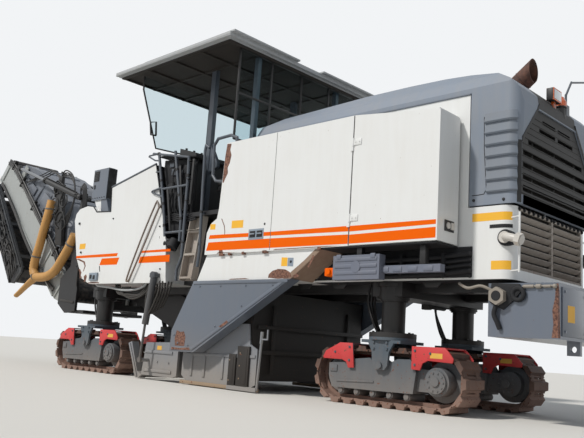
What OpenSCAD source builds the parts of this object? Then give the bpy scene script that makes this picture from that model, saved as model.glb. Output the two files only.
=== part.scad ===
// Cold planer milling machine on four crawler tracks, with a folded discharge conveyor.
// Millimetres. +X forward towards the conveyor, +Y the machine's left, +Z up.
// Lengths along X are counted from the rear column axes and shifted once, in placed().

/* [Overall] */
// width over the side lockers
body_w = 2550; // [2500:10:2600]
// distance between the rear and front column axes
wheelbase = 5600; // [5500:10:5700]
// height of the hulls' underside above the ground
hull_z = 1310; // [1300:5:1340]
// width of the rear hull
rear_w = 1740; // [1700:10:1760]
// width of the front hull
front_w = 2360; // [2300:10:2400]

/* [Tracks] */
// overall length of one track
track_l = 1920; // [1860:10:1950]
// overall height of one track
track_h = 620; // [590:5:640]
// width of one shoe
track_w = 350; // [320:5:370]
// distance of the column axes from the middle plane
column_y = 711; // [700:1:720]
// radius of the inner lifting columns
column_r = 125; // [115:1:130]
// number of shoes in one track
shoes = 25; // [23:1:27]
// how far the front tracks sit outside their columns
front_out = 90; // [60:5:100]

/* [Milling drum] */
// milled width
drum_w = 2000; // [1960:10:2010]
// drum diameter over the pick tips
drum_d = 980; // [940:10:990]
// height of the drum axis as parked, raised
drum_z = 680; // [670:5:690]
// drum axis behind the front columns
drum_back = 3150; // [3130:10:3170]
// number of picks
picks = 88; // [72:4:96]

/* [Lockers and hood] */
// underside of the side lockers
locker_z = 1640; // [1620:5:1660]
// top of the side lockers at their front
locker_top = 3070; // [3040:5:3090]
// sheet thickness of doors and panels
sheet_t = 30; // [20:2:34]
// highest point of the engine hood
hood_top = 3530; // [3500:5:3560]

/* [Platform] */
// top of the operator's floor
deck_z = 2250; // [2230:5:2270]
// length of the canopy roof
canopy_l = 2600; // [2500:10:2700]
// width of the canopy roof
canopy_w = 3000; // [2900:10:3050]
// height of the canopy's top
canopy_z = 4500; // [4450:5:4550]

/* [Discharge conveyor] */
// width over the conveyor's girders
conv_w = 1100; // [1060:10:1120]
// length of the lower section from its pivot
lower_l = 4150; // [4000:10:4250]
// length of the folded upper section
upper_l = 2500; // [2350:10:2600]
// slope of the lower section
raise_deg = 42; // [40:1:44]
// angle folded away from straight
fold_deg = 172; // [168:1:174]

/* [Hidden] */
$fn = 48;
side_y = body_w / 2;
rear_y = rear_w / 2;
front_y = front_w / 2;
x_f = wheelbase;
x_d = wheelbase - drum_back;
t_r = track_h / 2;
t_x = track_l / 2 - t_r;
// conveyor pivot, its slewing axis and its fold hinge
slew_x = x_f + 1000;
tail_x = x_f + 1450;
tail_z = 1270;
fold_w = -500;
hinge_x = tail_x + lower_l * cos(raise_deg) - fold_w * sin(raise_deg);
hinge_z = tail_z + lower_l * sin(raise_deg) + fold_w * cos(raise_deg);
up_h = 580;
x_front = hinge_x + up_h * cos(raise_deg + 90 - fold_deg) + 20;
x_rear = -1880;
x_shift = -(x_front + x_rear) / 2;
white = "#E4E3DE";
grey = "#7D8790";
dark = "#3B3F44";
orange = "#F4731E";
red = "#D5484A";
steel = "#6E6A66";
rust = "#8A6A5A";

// everything is moved along X once, so that the whole machine is centred
module placed() {
    translate([x_shift, 0, 0]) children();
}

module block(x0, x1, y0, y1, z0, z1) {
    translate([x0, y0, z0]) cube([x1 - x0, y1 - y0, z1 - z0]);
}

// outline in X and Z, drawn out between two Y values
module side_plate_of(outline, y0, y1) {
    translate([0, y1, 0]) rotate([90, 0, 0]) linear_extrude(y1 - y0) polygon(outline);
}

module both_sides() {
    children();
    mirror([0, 1, 0]) children();
}

module rod(p, q, r) {
    d = q - p;
    l = norm(d);
    translate(p) rotate([0, acos(d[2] / l), atan2(d[1], d[0])]) cylinder(h = l, r = r);
}

module bent_rod(pts, r) {
    for (i = [0 : len(pts) - 2]) rod(pts[i], pts[i + 1], r);
    for (i = [1 : len(pts) - 2]) translate(pts[i]) sphere(r = r * 1.04);
}

// CHASSIS: rails under the hulls, cross members with bored column guides, slewing lugs
module chassis_frame() {
    guide_r = column_r + 40;
    color(dark) placed() difference() {
        union() {
            both_sides() block(-1150, x_f + 380, 430, 600, hull_z - 100, hull_z - 0.3);
            for (x = [0, x_f]) {
                both_sides() block(x - 190, x + 190, 430, column_y + 130, hull_z - 160,
                    hull_z - 0.3);
                both_sides() translate([x, column_y, hull_z - 190])
                    cylinder(h = 189.7, r = guide_r);
            }
            block(-190, 190, -431, 431, hull_z - 160, hull_z - 0.3);
            block(-1150, -1000, -431, 431, hull_z - 100, hull_z - 0.3);
            both_sides() block(x_f + 300, x_f + 400, 150, 601, hull_z - 330, hull_z - 60);
            block(x_f + 300, x_f + 400, -160, 160, hull_z - 330, hull_z - 230);
            block(x_f + 300, slew_x + 120, -150, 150, 980, 1030);
            both_sides() block(x_f + 310, x_f + 390, 300, 384, hull_z - 61, hull_z + 42.8);
            // towing eyes
            both_sides() block(x_f + 390, x_f + 520, 500, 540, 1080, 1200);
        }
        both_sides() rod([x_f + 460, 480, 1140], [x_f + 460, 560, 1140], 30);
        for (x = [0, x_f]) both_sides() translate([x, column_y, hull_z - 200])
            cylinder(h = 185, r = column_r + 1);
        translate([slew_x, 0, 970]) cylinder(h = 80, r = 51);
    }
}

// FRONT HULL: tank body with a rounded nose, a notch for the filter box and a belt tunnel
front_outline = [[-2150, 0], [-210, 10], [20, 100], [250, 440], [430, 1040], [400, 1150],
    [300, 1220], [80, 1250], [-110, 1220], [-210, 1130], [-610, 1100], [-560, 1480],
    [-1650, 1710], [-2060, 600]];
module front_hull() {
    pts = [for (p = front_outline) [x_f + p[0], hull_z + p[1]]];
    color(white) placed() difference() {
        side_plate_of(pts, -front_y, front_y);
        side_plate_of([[x_f - 3500, 160], [x_f + 950, 1580], [x_f + 950, 2160],
            [x_f - 3500, 960]], -420, 420);
    }
    // upper slewing lug on the nose
    color(dark) placed() difference() {
        block(x_f + 250, slew_x + 120, -200, 200, 2190, 2240);
        translate([slew_x, 0, 2180]) cylinder(h = 80, r = 51);
        side_plate_of(pts, -front_y, front_y);
    }
}

// CENTRE BODY: closed box under the floor, behind the ladders
module centre_body() {
    color(dark) placed() {
        block(2200.3, x_f - 2151, 5 - rear_y, rear_y - 5, hull_z + 0.3, deck_z - 58.3);
    }
}

// REAR HULL: hollow white hull with rounded rear corners, open on top under the hood
module rear_hull() {
    t = sheet_t;
    color(white) placed() difference() {
        translate([0, 0, hull_z]) linear_extrude(1890) rear_plan(0);
        translate([0, 0, hull_z + t]) linear_extrude(1900) rear_plan(t);
        block(-1600, -1250, -730, 730, hull_z + 100, hull_z + 900);
        block(-1600, -960, -rear_y - 10, rear_y + 10, hull_z + 710, hull_z + 1900);
    }
    // hinge lugs of the hood
    color(white) placed() both_sides() {
        block(2199, 2260, 300, 325, 3130, 3215);
        rod([2235, 324, 3190], [2235, 372, 3190], 15);
    }
    // lower side bodies under the lockers, with a slanted rear end
    low = [[x_f - 2900, hull_z], [1050, hull_z], [600, locker_z - 0.3],
        [x_f - 3060, locker_z - 0.3]];
    color(white) placed() both_sides() side_plate_of(low, rear_y - 1, side_y - 30);
}
module rear_plan(t) {
    offset(r = 120 - t) offset(delta = -120) polygon([[-1430, -rear_y], [-600, -rear_y],
        [-600, rear_y], [-1430, rear_y]]);
    translate([-1000, -rear_y + t]) square([3200 - t, 2 * rear_y - 2 * t]);
}

module engine_block() {
    color(dark) placed() {
        block(-750, 1450, -420, 420, hull_z + 120, hull_z + 1450);
        for (x = [-500, 1000]) both_sides() block(x, x + 150, 300, 400, hull_z + sheet_t + 0.3,
            hull_z + 121);
    }
}

// REAR LOUVRE: frame with slats in two columns
module rear_louvre() {
    z0 = hull_z + 100.3;
    z1 = hull_z + 700;
    color(white) placed() {
        difference() {
            block(-1430, -1400, -729.7, 729.7, z0, z1);
            both_sides() block(-1440, -1390, 20, 700, z0 + 25, z1 - 25);
        }
        for (i = [0 : 6]) both_sides() translate([-1414, 20, z0 + 60 + i * 75])
            rotate([0, 35, 0]) translate([-32, 0, -4]) cube([64, 680, 8]);
    }
}

module rear_counterweight() {
    color(grey) placed() {
        block(-1880, -1200, -rear_y, rear_y, hull_z - 540, hull_z - 40);
        both_sides() block(-1300, -1201, 440, 560, hull_z - 42, hull_z - 0.3);
        // towing eyes
        both_sides() difference() {
            block(-1868, -1742, 330, 370, hull_z - 670, hull_z - 539);
            rod([-1805, 320, hull_z - 610], [-1805, 380, hull_z - 610], 30);
        }
    }
}

// LOCKERS: fixed cabinets with the front panels, and an angled rear door each
front_edge = [[-3040, 0], [-3050, 280], [-3120, 395], [-3225, 455], [-3250, 580], [-3285, 1260]];
module locker_shell() {
    t = sheet_t;
    xa = x_f - 3040;
    xb = x_f - 3310;
    edge = [for (p = front_edge) [x_f + p[0], locker_z + p[1]]];
    // outer skin of the two front panels, relieved for the door's knuckles
    difference() {
        side_plate_of(concat([[215, locker_z]], edge, [[xb, locker_top], [215, locker_top]]),
            side_y - t, side_y);
        for (z = [locker_z + 200, locker_top - 400]) translate([210, side_y + 5, z + 60.2])
            cylinder(h = 59.6, r = 15.5);
    }
    // floor, roof and front end
    block(-830, xa - 10, rear_y + 0.3, side_y - t - 0.5, locker_z, locker_z + t);
    block(216, xa - 10, rear_y + 0.3, side_y - t + 1, locker_z, locker_z + t);
    roof = [[-835, locker_top - 120], [215, locker_top - t], [xb - 10, locker_top - t],
        [xb - 5, locker_top], [215, locker_top], [-835, locker_top - 90]];
    side_plate_of(roof, rear_y + 0.3, side_y - t - 6);
    block(216, xb - 5, side_y - t - 8, side_y - t + 1, locker_top - t, locker_top);
    inner = [for (i = [5 : -1 : 0]) [edge[i][0] - t, edge[i][1]]];
    side_plate_of(concat(edge, [[xb, locker_top], [xb - t, locker_top]], inner),
        rear_y + 0.3, side_y - t + 1);
    // hinge pins of the rear door
    for (z = [locker_z + 200, locker_top - 400]) {
        block(211, 240, side_y - 1, side_y + 12, z, z + 60);
        translate([210, side_y + 5, z]) cylinder(h = 125, r = 8);
    }
}
module locker_left() {
    color(white) placed() locker_shell();
}
module locker_right() {
    color(white) placed() mirror([0, 1, 0]) locker_shell();
}
module door_shell() {
    t = sheet_t;
    z0 = locker_z + 5;
    skin = [[-870, z0], [205, z0], [205, locker_top], [-870, locker_top - 120]];
    difference() {
        side_plate_of(skin, side_y - t, side_y);
        for (z = [locker_z + 200, locker_top - 400]) translate([210, side_y + 5, z - 5])
            cylinder(h = 135, r = 9.5);
    }
    side_plate_of([[-870, z0], [-840, z0], [-840, locker_top - 120], [-870, locker_top - 123]],
        rear_y + 35, side_y - t + 1);
    for (z = [locker_z + 200, locker_top - 400]) difference() {
        union() {
            translate([210, side_y + 5, z + 61]) cylinder(h = 58, r = 14);
            block(175, 205, side_y - 1, side_y + 10, z + 61, z + 119);
            block(200, 210, side_y + 1, side_y + 10, z + 61, z + 119);
        }
        translate([210, side_y + 5, z + 50]) cylinder(h = 90, r = 8.6);
    }
}
module locker_door_left() {
    color(white) placed() door_shell();
}
module locker_door_right() {
    color(white) placed() mirror([0, 1, 0]) door_shell();
}

// SIDE SKIRTS: grey boxes beside the drum, cut back underneath towards the rear
module skirt_shell() {
    skirt = [[x_f - 2870, hull_z - 0.3], [x_f - 4570, hull_z - 0.3], [x_f - 2980, 420],
        [x_f - 2490, 410], [x_f - 2500, 680]];
    side_plate_of(skirt, side_y - 170, side_y - 5);
}
module side_skirt_left() {
    color(grey) placed() skirt_shell();
}
module side_skirt_right() {
    color(grey) placed() mirror([0, 1, 0]) skirt_shell();
}

// DRUM HOUSING: end walls, roof, front wall and the rear scraper
module drum_housing() {
    w = drum_w / 2 + 15;
    r = drum_d / 2 + 40;
    ends = [[x_d - 640, 560], [x_d - 640, hull_z - 100.3], [x_d + 700, hull_z - 100.3],
        [x_d + 700, 560], [x_d + 420, 560], [x_d + 420, 420], [x_d - 420, 420], [x_d - 420, 560]];
    color(dark) placed() {
        both_sides() difference() {
            side_plate_of(ends, w, w + 25);
            rod([x_d, w - 10, drum_z], [x_d, w + 40, drum_z], 91);
        }
        // lugs and pins of the front shield
        both_sides() block(x_d + 690, x_d + 770, w, w + 23, 440, 560);
        both_sides() rod([x_d + 740, w + 20, 480], [x_d + 740, w + 62, 480], 25);
        block(x_d - 640, x_d + 700, -w, w, hull_z - 130, hull_z - 100.3);
        // scraper
        block(x_d - 640, x_d - 590, -w, w, 140, hull_z - 130);
        block(x_d - 600, x_d - 560, -w + 50, w - 50, 130, 200);
        // front wall above the belt mouth
        block(x_d + 660, x_d + 700, -w, -430, 350, hull_z - 130);
        block(x_d + 660, x_d + 700, 430, w, 350, hull_z - 130);
        block(x_d + 660, x_d + 700, -430, 430, 1080, hull_z - 130);
    }
}

module drum_body() {
    color(steel) placed() translate([x_d, 0, drum_z]) rotate([90, 0, 0])
        difference() {
            translate([0, 0, -drum_w / 2 + 10]) cylinder(h = drum_w - 20, r = drum_d / 2 - 110);
            translate([0, 0, -drum_w / 2]) cylinder(h = 120, r = drum_d / 2 - 150);
            translate([0, 0, drum_w / 2 - 120]) cylinder(h = 120, r = drum_d / 2 - 150);
        }
    color(steel) placed() rod([x_d, -drum_w / 2 - 40, drum_z], [x_d, drum_w / 2 + 40, drum_z], 90);
}

// picks stand on two opposed helices that feed towards the middle
module drum_picks() {
    r = drum_d / 2;
    span = drum_w / 2 - 40;
    color(rust) placed() translate([x_d, 0, drum_z]) both_sides()
        for (i = [0 : picks / 2 - 1]) {
            y = 25 + i * (span - 25) / (picks / 2 - 1);
            translate([0, y, 0]) rotate([0, i * 47, 0]) translate([r - 110, 0, 0])
                rotate([0, 90, 0]) {
                    translate([0, 0, 0.3]) cylinder(h = 60, r = 24, $fn = 6);
                    translate([0, 0, 60]) cylinder(h = 50, r1 = 15, r2 = 3, $fn = 6);
                }
        }
}

// SIDE PLATES: edge guards beside the drum, sliding up in their guides
module edge_guard() {
    y0 = drum_w / 2 + 52;
    plate = [[x_d - 770, 90], [x_d - 640, 35], [x_d + 500, 35], [x_d + 620, 120],
        [x_d + 620, 800], [x_d - 600, 800], [x_d - 640, 560], [x_d - 770, 500]];
    side_plate_of(plate, y0, y0 + 20);
    // guide channels and the skid shoe
    block(x_d - 430, x_d - 310, y0 + 19, y0 + 47, 60, 430);
    block(x_d - 660, x_d - 460, y0 + 19, y0 + 47, 60, 530);
    block(x_d - 810, x_d - 300, y0 + 2, y0 + 47, 12, 62);
    // lifting rod with its grip and hook
    rod([x_d - 810, y0 + 28, 30], [x_d - 836, y0 + 28, 600], 13);
    rod([x_d - 835, y0 + 28, 580], [x_d - 839, y0 + 28, 710], 18);
    block(x_d - 945, x_d - 830, y0 + 20, y0 + 36, 618, 634);
    block(x_d - 945, x_d - 929, y0 + 20, y0 + 36, 618, 740);
    // runners against the housing's end wall
    for (x = [x_d - 560, x_d + 480]) block(x, x + 80, y0 - 11.5, y0 + 1, 640, 760);
}
module side_plate_left() {
    color(grey) placed() edge_guard();
}
module side_plate_right() {
    color(grey) placed() mirror([0, 1, 0]) edge_guard();
}

// FRONT SHIELD: cheeks and cross beam ahead of the drum, hinged at the rear
module front_shield() {
    cheek = [[x_d + 720, 520], [x_d + 720, 90], [x_d + 800, 60], [x_d + 1500, 60],
        [x_d + 1440, 500], [x_d + 900, 520]];
    bow = [[x_d + 1490, 60], [x_d + 1560, 10], [x_d + 1640, 10], [x_d + 1860, 480],
        [x_d + 1790, 500], [x_d + 1600, 100]];
    color(grey) placed() {
        both_sides() difference() {
            union() {
                side_plate_of(cheek, drum_w / 2 + 42, drum_w / 2 + 77);
                side_plate_of(bow, drum_w / 2 - 40, drum_w / 2 + 77);
                rod([x_d + 1350, drum_w / 2 + 70, 262], [x_d + 1350, 1211, 262], 24);
            }
            rod([x_d + 740, 1000, 480], [x_d + 740, 1100, 480], 26);
        }
        both_sides() block(x_d + 760, x_d + 800, 440, drum_w / 2 + 43, 110, 400);
        block(x_d + 1570, x_d + 1620, 39 - drum_w / 2, drum_w / 2 - 39, 20, 90);
    }
}
module shield_cylinders() {
    y = 1229;
    color(steel) placed() both_sides() {
        block(x_f - 2010, x_f - 1890, front_y + 0.3, y + 36, hull_z + 70, hull_z + 125);
        rod([x_f - 1948, y, hull_z + 90], [x_f - 1845, y, 740], 46);
        rod([x_f - 1847, y, 750], [x_f - 1802, y, 285], 17);
        translate([x_f - 1800, y + 18, 262]) rotate([90, 0, 0]) cylinder(h = 36, r = 36);
        translate([x_f - 1948, y + 40, hull_z + 98]) rotate([90, 0, 0]) cylinder(h = 70, r = 50);
    }
}

// PRIMARY CONVEYOR: boxed belt rising from the drum through the front hull
module primary_conveyor() {
    case = [[x_d + 700.5, 315], [x_f + 780, 1530], [x_f + 780, 2060], [x_d + 700.5, 865]];
    color(dark) placed() difference() {
        side_plate_of(case, -385, 385);
        side_plate_of([[x_d + 700, 430], [x_f + 900, 1690], [x_f + 900, 2090],
            [x_d + 700, 830]], -340, 340);
    }
}

// PLATFORM: floor, hand rails, consoles, seats
module platform_deck() {
    color(dark) placed() {
        block(2235, x_f - 1957, -rear_y, rear_y, deck_z - 58, deck_z);
        both_sides() block(2366, x_f - 1957, rear_y - 1, 1150, deck_z - 58, deck_z);
    }
}
module platform_rails() {
    $fn = 16;
    y = 1200;
    color(dark) placed() both_sides() {
        bent_rod([[x_f - 1740, y, 3160], [x_f - 1860, y, 2750], [x_f - 1960, y, 2410],
            [x_f - 2030, y, 2100], [x_f - 2060, y, 1950]], 20);
        bent_rod([[x_f - 2120, y, 3150], [x_f - 2200, y, 2870], [x_f - 2300, y, 2500],
            [x_f - 2390, y, 2170], [x_f - 2400, y, 1860]], 20);
        bent_rod([[x_f - 2440, y, 3030], [x_f - 2460, y, 2700], [x_f - 2475, y, 1640],
            [x_f - 2390, y, 1470], [x_f - 2400, y, 1330]], 20);
        bent_rod([[x_f - 2870, y, 3090], [x_f - 2790, y, 3140], [x_f - 2775, y, 3060],
            [x_f - 2810, y, 2230], [x_f - 2840, y, 1700], [x_f - 2820, y, 1500]], 20);
        // cross bars and stubs on the floor's edge
        rod([x_f - 1600, y, 3185], [x_f - 2450, y, 3020], 17);
        rod([x_f - 1890, y, 2630], [x_f - 2460, y, 2630], 17);
        rod([x_f - 2050, y, 1995], [x_f - 2470, y, 1995], 17);
        for (x = [-2002, -2376, -2466, -2810]) rod([x_f + x, y, deck_z - 30],
            [x_f + x, 1150.3, deck_z - 30], 15);
        rod([x_f - 1812, 1192, 2900], [x_f - 1700, 1192, 2900], 11);
        // hoop between the deck and the locker
        bent_rod([[x_f - 3252, y, 2620], [x_f - 3190, y, 2590], [x_f - 3050, y, 2620],
            [x_f - 2980, y, 2700], [x_f - 2960, y, 3110], [x_f - 3030, y, 3190],
            [x_f - 3280, y, 3200], [x_f - 3400, y, 3150], [x_f - 3400, y, locker_top + 0.3]], 20);
        block(x_f - 3269, x_f - 3245, y - 30, y + 30, 2600, 2660);
    }
}
module consoles() {
    color(dark) placed() {
        both_sides() block(x_f - 2230, x_f - 1960, 350, 950, deck_z + 0.3, deck_z + 851);
        both_sides() side_plate_of([[x_f - 2330, deck_z + 850],
            [x_f - 1960, deck_z + 850], [x_f - 1960, deck_z + 1010], [x_f - 2330, deck_z + 900]],
            300, 1000);
    }
}
module seats() {
    color(dark) placed() both_sides() {
        block(2680, 2780, 560, 680, deck_z + 0.3, deck_z + 420);
        block(2480, 2980, 370, 870, deck_z + 419, deck_z + 520);
        side_plate_of([[2440, deck_z + 500], [2540, deck_z + 500], [2480, deck_z + 1050],
            [2400, deck_z + 1040]], 390, 850);
    }
}

// CANOPY: roof on four posts, with front and rear glass
module canopy_roof() {
    x0 = 2150;
    y = canopy_w / 2;
    color(grey) placed() {
        block(x0 + 60, x0 + canopy_l - 60, -y + 60, y - 60, canopy_z - 90, canopy_z - 50);
        difference() {
            block(x0, x0 + canopy_l, -y, y, canopy_z - 70, canopy_z - 20);
            block(x0 + 60, x0 + canopy_l - 60, -y + 60, y - 60, canopy_z - 75, canopy_z - 49);
        }
        both_sides() block(x0 - 60, x0 + canopy_l - 700, 250, y - 20, canopy_z - 21, canopy_z);
    }
}
module canopy_posts() {
    top = canopy_z - 90.3;
    color(dark) placed() both_sides() {
        block(3165, 3255, 780, 850, deck_z + 0.3, top);
        side_plate_of([[3166, deck_z + 700], [3166, deck_z + 1050], [2990, deck_z + 760],
            [2990, deck_z + 700], [3166, deck_z + 620]], 790, 840);
        block(2300, 2370, 780, 840, deck_z + 0.3, top);
    }
}
module windscreens() {
    top = canopy_z - 90.3;
    color("#8FA9B5") placed() both_sides() {
        // front pane, cut back along its outer edge
        translate([x_f - 1296, 0, 0]) rotate([90, 0, 90]) linear_extrude(6)
            polygon([[12, 3420], [960, 3370], [1280, 4200], [1280, top], [12, top]]);
        // rear panes in dark frames
        for (i = [0 : 1]) block(2284, 2290, 12 + i * 590, 590 + i * 590, 3162, top);
    }
}

// STEPS: ladders with plate treads on both sides
module steps() {
    zt = deck_z - 58.3;
    color(white) placed() both_sides() {
        for (x = [x_f - 2770, x_f - 2532]) translate([x, 0, 0]) rotate([90, 0, 90])
            linear_extrude(12) polygon([[1040, zt], [1145, zt], [1245, 1330], [1140, 1330]]);
        translate([x_f - 2759, 0, 0]) rotate([90, 0, 90]) linear_extrude(228)
            polygon([[1040, zt], [1052, zt], [1152, 1330], [1140, 1330]]);
        for (i = [0 : 2]) block(x_f - 2759, x_f - 2531, 1141 - i * 36, 1243 - i * 36,
            1350 + i * 310, 1376 + i * 310);
    }
}

module air_filter_box() {
    color(grey) placed() {
        block(x_f - 350, x_f + 60, 980, 1140, hull_z + 1340, hull_z + 1840);
        side_plate_of([[x_f - 450, hull_z + 1112.4], [x_f - 230, hull_z + 1128.9],
            [x_f - 190, hull_z + 1341], [x_f - 345, hull_z + 1341]], 1000, 1120);
    }
}

module tool_case() {
    color(grey) placed() {
        block(-200, 410, side_y - 105, side_y - 5, locker_z - 355, locker_z - 100);
        block(-880, -205, side_y - 140, side_y - 60, locker_z - 290, locker_z - 215);
        block(60, 120, side_y - 95, side_y - 40, locker_z - 101, locker_z - 0.3);
        block(-205, -199, side_y - 105, side_y - 60, locker_z - 280, locker_z - 220);
        block(-700, -640, side_y - 135, side_y - 70, locker_z - 216, locker_z - 0.3);
    }
}

// ENGINE HOOD: grey top with the rear corners, hinged at its front end
hood_side = [[2190, 3205], [2150, 3370], [1830, 3460], [550, 3530], [-60, 3530], [-540, 3510],
    [-880, 3470], [-1220, 3400], [-1380, 3300], [-1470, 3200], [-1490, 3060], [-1480, 2035], [-970, 2035],
    [-970, 3205]];
module hood_plan(t) {
    offset(r = 120 - t) offset(delta = -120) polygon([[-1490, -rear_y], [-700, -rear_y],
        [-700, rear_y], [-1490, rear_y]]);
    translate([-1100, -rear_y + t]) square([3400, 2 * rear_y - 2 * t]);
}
module hood_form(t) {
    k = hood_top - 3530;
    pts = [for (p = hood_side) [p[0], p[1] > 3400 ? p[1] + k : p[1]]];
    intersection() {
        translate([0, rear_y, 0]) rotate([90, 0, 0]) linear_extrude(rear_w)
            offset(delta = -t) polygon(pts);
        translate([-1600, 0, 0]) rotate([90, 0, 90]) linear_extrude(4000)
            offset(delta = -t) polygon([[-rear_y, 1900], [rear_y, 1900], [rear_y, 3260],
                [rear_y - 60, 3380], [rear_y - 270, 3600], [270 - rear_y, 3600],
                [60 - rear_y, 3380], [-rear_y, 3260]]);
        translate([0, 0, 1900]) linear_extrude(1800) hood_plan(t);
    }
}
module grille_outline(g, x0, x1) {
    translate([x0, 0, 0]) rotate([90, 0, 90]) linear_extrude(x1 - x0) offset(delta = -g)
        polygon([[-790, 2125], [790, 2125], [790, 2640], [450, 3060], [-450, 3060], [-790, 2640]]);
}
module engine_hood() {
    y = rear_y - sheet_t;
    color(grey) placed() difference() {
        hood_form(0);
        hood_form(sheet_t);
        block(-940, 2160, -y, y, 3100, 3270);
        block(-1440, -900, -y, y, 1950, 2120);
        block(-1000, -900, -y, y, 2000, 3270);
        grille_outline(0, -1700, -1300);
    }
    // hinge knuckles
    color(grey) placed() both_sides() difference() {
        union() {
            rod([2235, 332, 3190], [2235, 362, 3190], 27);
            side_plate_of([[2235, 3163], [2262, 3190], [2250, 3230], [2160, 3330], [2150, 3310],
                [2176, 3240], [2208, 3205], [2208, 3190]], 332, 362);
        }
        rod([2235, 320, 3190], [2235, 380, 3190], 15.6);
    }
}
module hood_grille() {
    color(dark) placed() difference() {
        grille_outline(0.3, -1472, -1442);
        for (i = [0 : 4]) block(-1480, -1430, i < 4 ? -745 : -640, i < 4 ? 745 : 640,
            2170 + i * 118, 2232 + i * 118);
        both_sides() block(-1480, -1430, 30, 400, 2840, 2880);
        both_sides() block(-1480, -1430, 30, 330, 2940, 2980);
    }
}
module exhaust_pipe() {
    a = [-700, -100, 3382];
    b = [-1400, -100, 3907];
    color(rust) placed() difference() {
        rod(a, b, 110);
        rod(a + (b - a) * 0.35, b + (b - a) * 0.1, 102);
        block(-1600, -1165, -400, 200, 3200, 4200);
        hood_form(-0.3);
    }
}
module rear_lamps() {
    color(orange) placed() difference() {
        union() {
            translate([-1425, -190, 3150]) cylinder(h = 130, r = 55);
            translate([-1425, -190, 3279]) cylinder(h = 60, r = 68);
            translate([-1425, -190, 3338]) cylinder(h = 55, r1 = 68, r2 = 40);
            block(-1500, -1420, -60, 130, 3270, 3400);
            block(-1470, -1440, 10, 60, 3150, 3271);
        }
        hood_form(-0.3);
    }
}
module rear_mirror() {
    $fn = 24;
    color(dark) placed() {
        difference() {
            block(-1465, -1415, -340, -262, 3120, 3330);
            hood_form(-0.3);
        }
        rod([-1440, -305, 3310], [-1440, -305, 3460], 13);
        rod([-1440, -305, 3448], [-1445, -440, 3645], 12);
        rod([-1445, -432, 3636], [-1470, -900, 3780], 11);
        rod([-1470, -888, 3790], [-1470, -888, 3665], 10);
        block(-1490, -1455, -980, -800, 3380, 3680);
    }
}

// TRACK FRAME: inner column, saddle with its cross pin, side frame, wheels, rollers, guards
loop_x = -35;
module across(x, z, y0, y1, r) {
    rod([x, y0, z], [x, y1, z], r);
}
module track_frame(x, s) {
    w = track_w / 2;
    out = x > 0 ? front_out : 0;
    beam = [[720, 420], [480, 440], [360, 480], [170, 500], [120, 470], [-120, 470],
        [-190, 505], [-350, 510], [-420, 390], [-390, 172], [120, 165], [670, 165], [720, 290]];
    cheek = [[160, 690], [160, 660], [110, 570], [95, 430], [60, 385], [-60, 385], [-95, 430],
        [-110, 570], [-160, 650], [-160, 690]];
    placed() translate([x, s * column_y, 0]) mirror([0, s < 0 ? 1 : 0, 0]) {
        color(steel) {
            translate([0, 0, track_h + 50]) cylinder(h = hull_z - track_h - 75, r = column_r);
            translate([0, 0, track_h + 70]) cylinder(h = 50, r = 250);
        }
        translate([0, out, 0]) {
            color(steel) {
                block(-250, 250, -w - 38 - out, w + 38, track_h + 40, track_h + 71);
                both_sides() side_plate_of(cheek, w + 8, w + 38);
                across(0, 430, -w - 60, w + 60, 34);
                side_plate_of(beam, 8 - w, w - 8);
                block(loop_x - t_x - 10, -380, 60 - w, w - 60, 200, 420);
                for (i = [0 : 4]) across(560 - i * 215, 136, 40 - w, w - 40, 41.7);
                across(loop_x + t_x, t_r, -60, 60, 195);
                across(loop_x - t_x, t_r, -52, 52, 200);
                across(loop_x - t_x, t_r, 40 - w, w + 24, 138);
                across(loop_x - t_x, t_r, w + 23, w + 50, 112);
            }
            color(red) track_guards(w);
        }
    }
}
// plates beside the chain, joined by a strip over it
module track_guards(w) {
    rear = [[-380, 642], [-760, 642], [-800, 610], [-860, 540], [-850, 500], [-570, 510],
        [-510, 480], [-480, 410], [-380, 415]];
    front = [[380, 642], [560, 642], [620, 610], [750, 550], [790, 480], [780, 465],
        [520, 465], [460, 440], [430, 380], [355, 385]];
    both_sides() {
        side_plate_of(rear, w + 6, w + 18);
        side_plate_of(front, w + 6, w + 18);
        block(-460, -395, w - 12, w + 7, 420, 455);
        block(375, 425, w - 12, w + 7, 400, 430);
    }
    block(-760, -380, -w - 7, w + 7, 630, 642);
    block(380, 560, -w - 7, w + 7, 630, 642);
}
module track_frame_fl() {
    track_frame(x_f, 1);
}
module track_frame_fr() {
    track_frame(x_f, -1);
}
module track_frame_rl() {
    track_frame(0, 1);
}
module track_frame_rr() {
    track_frame(0, -1);
}

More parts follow.
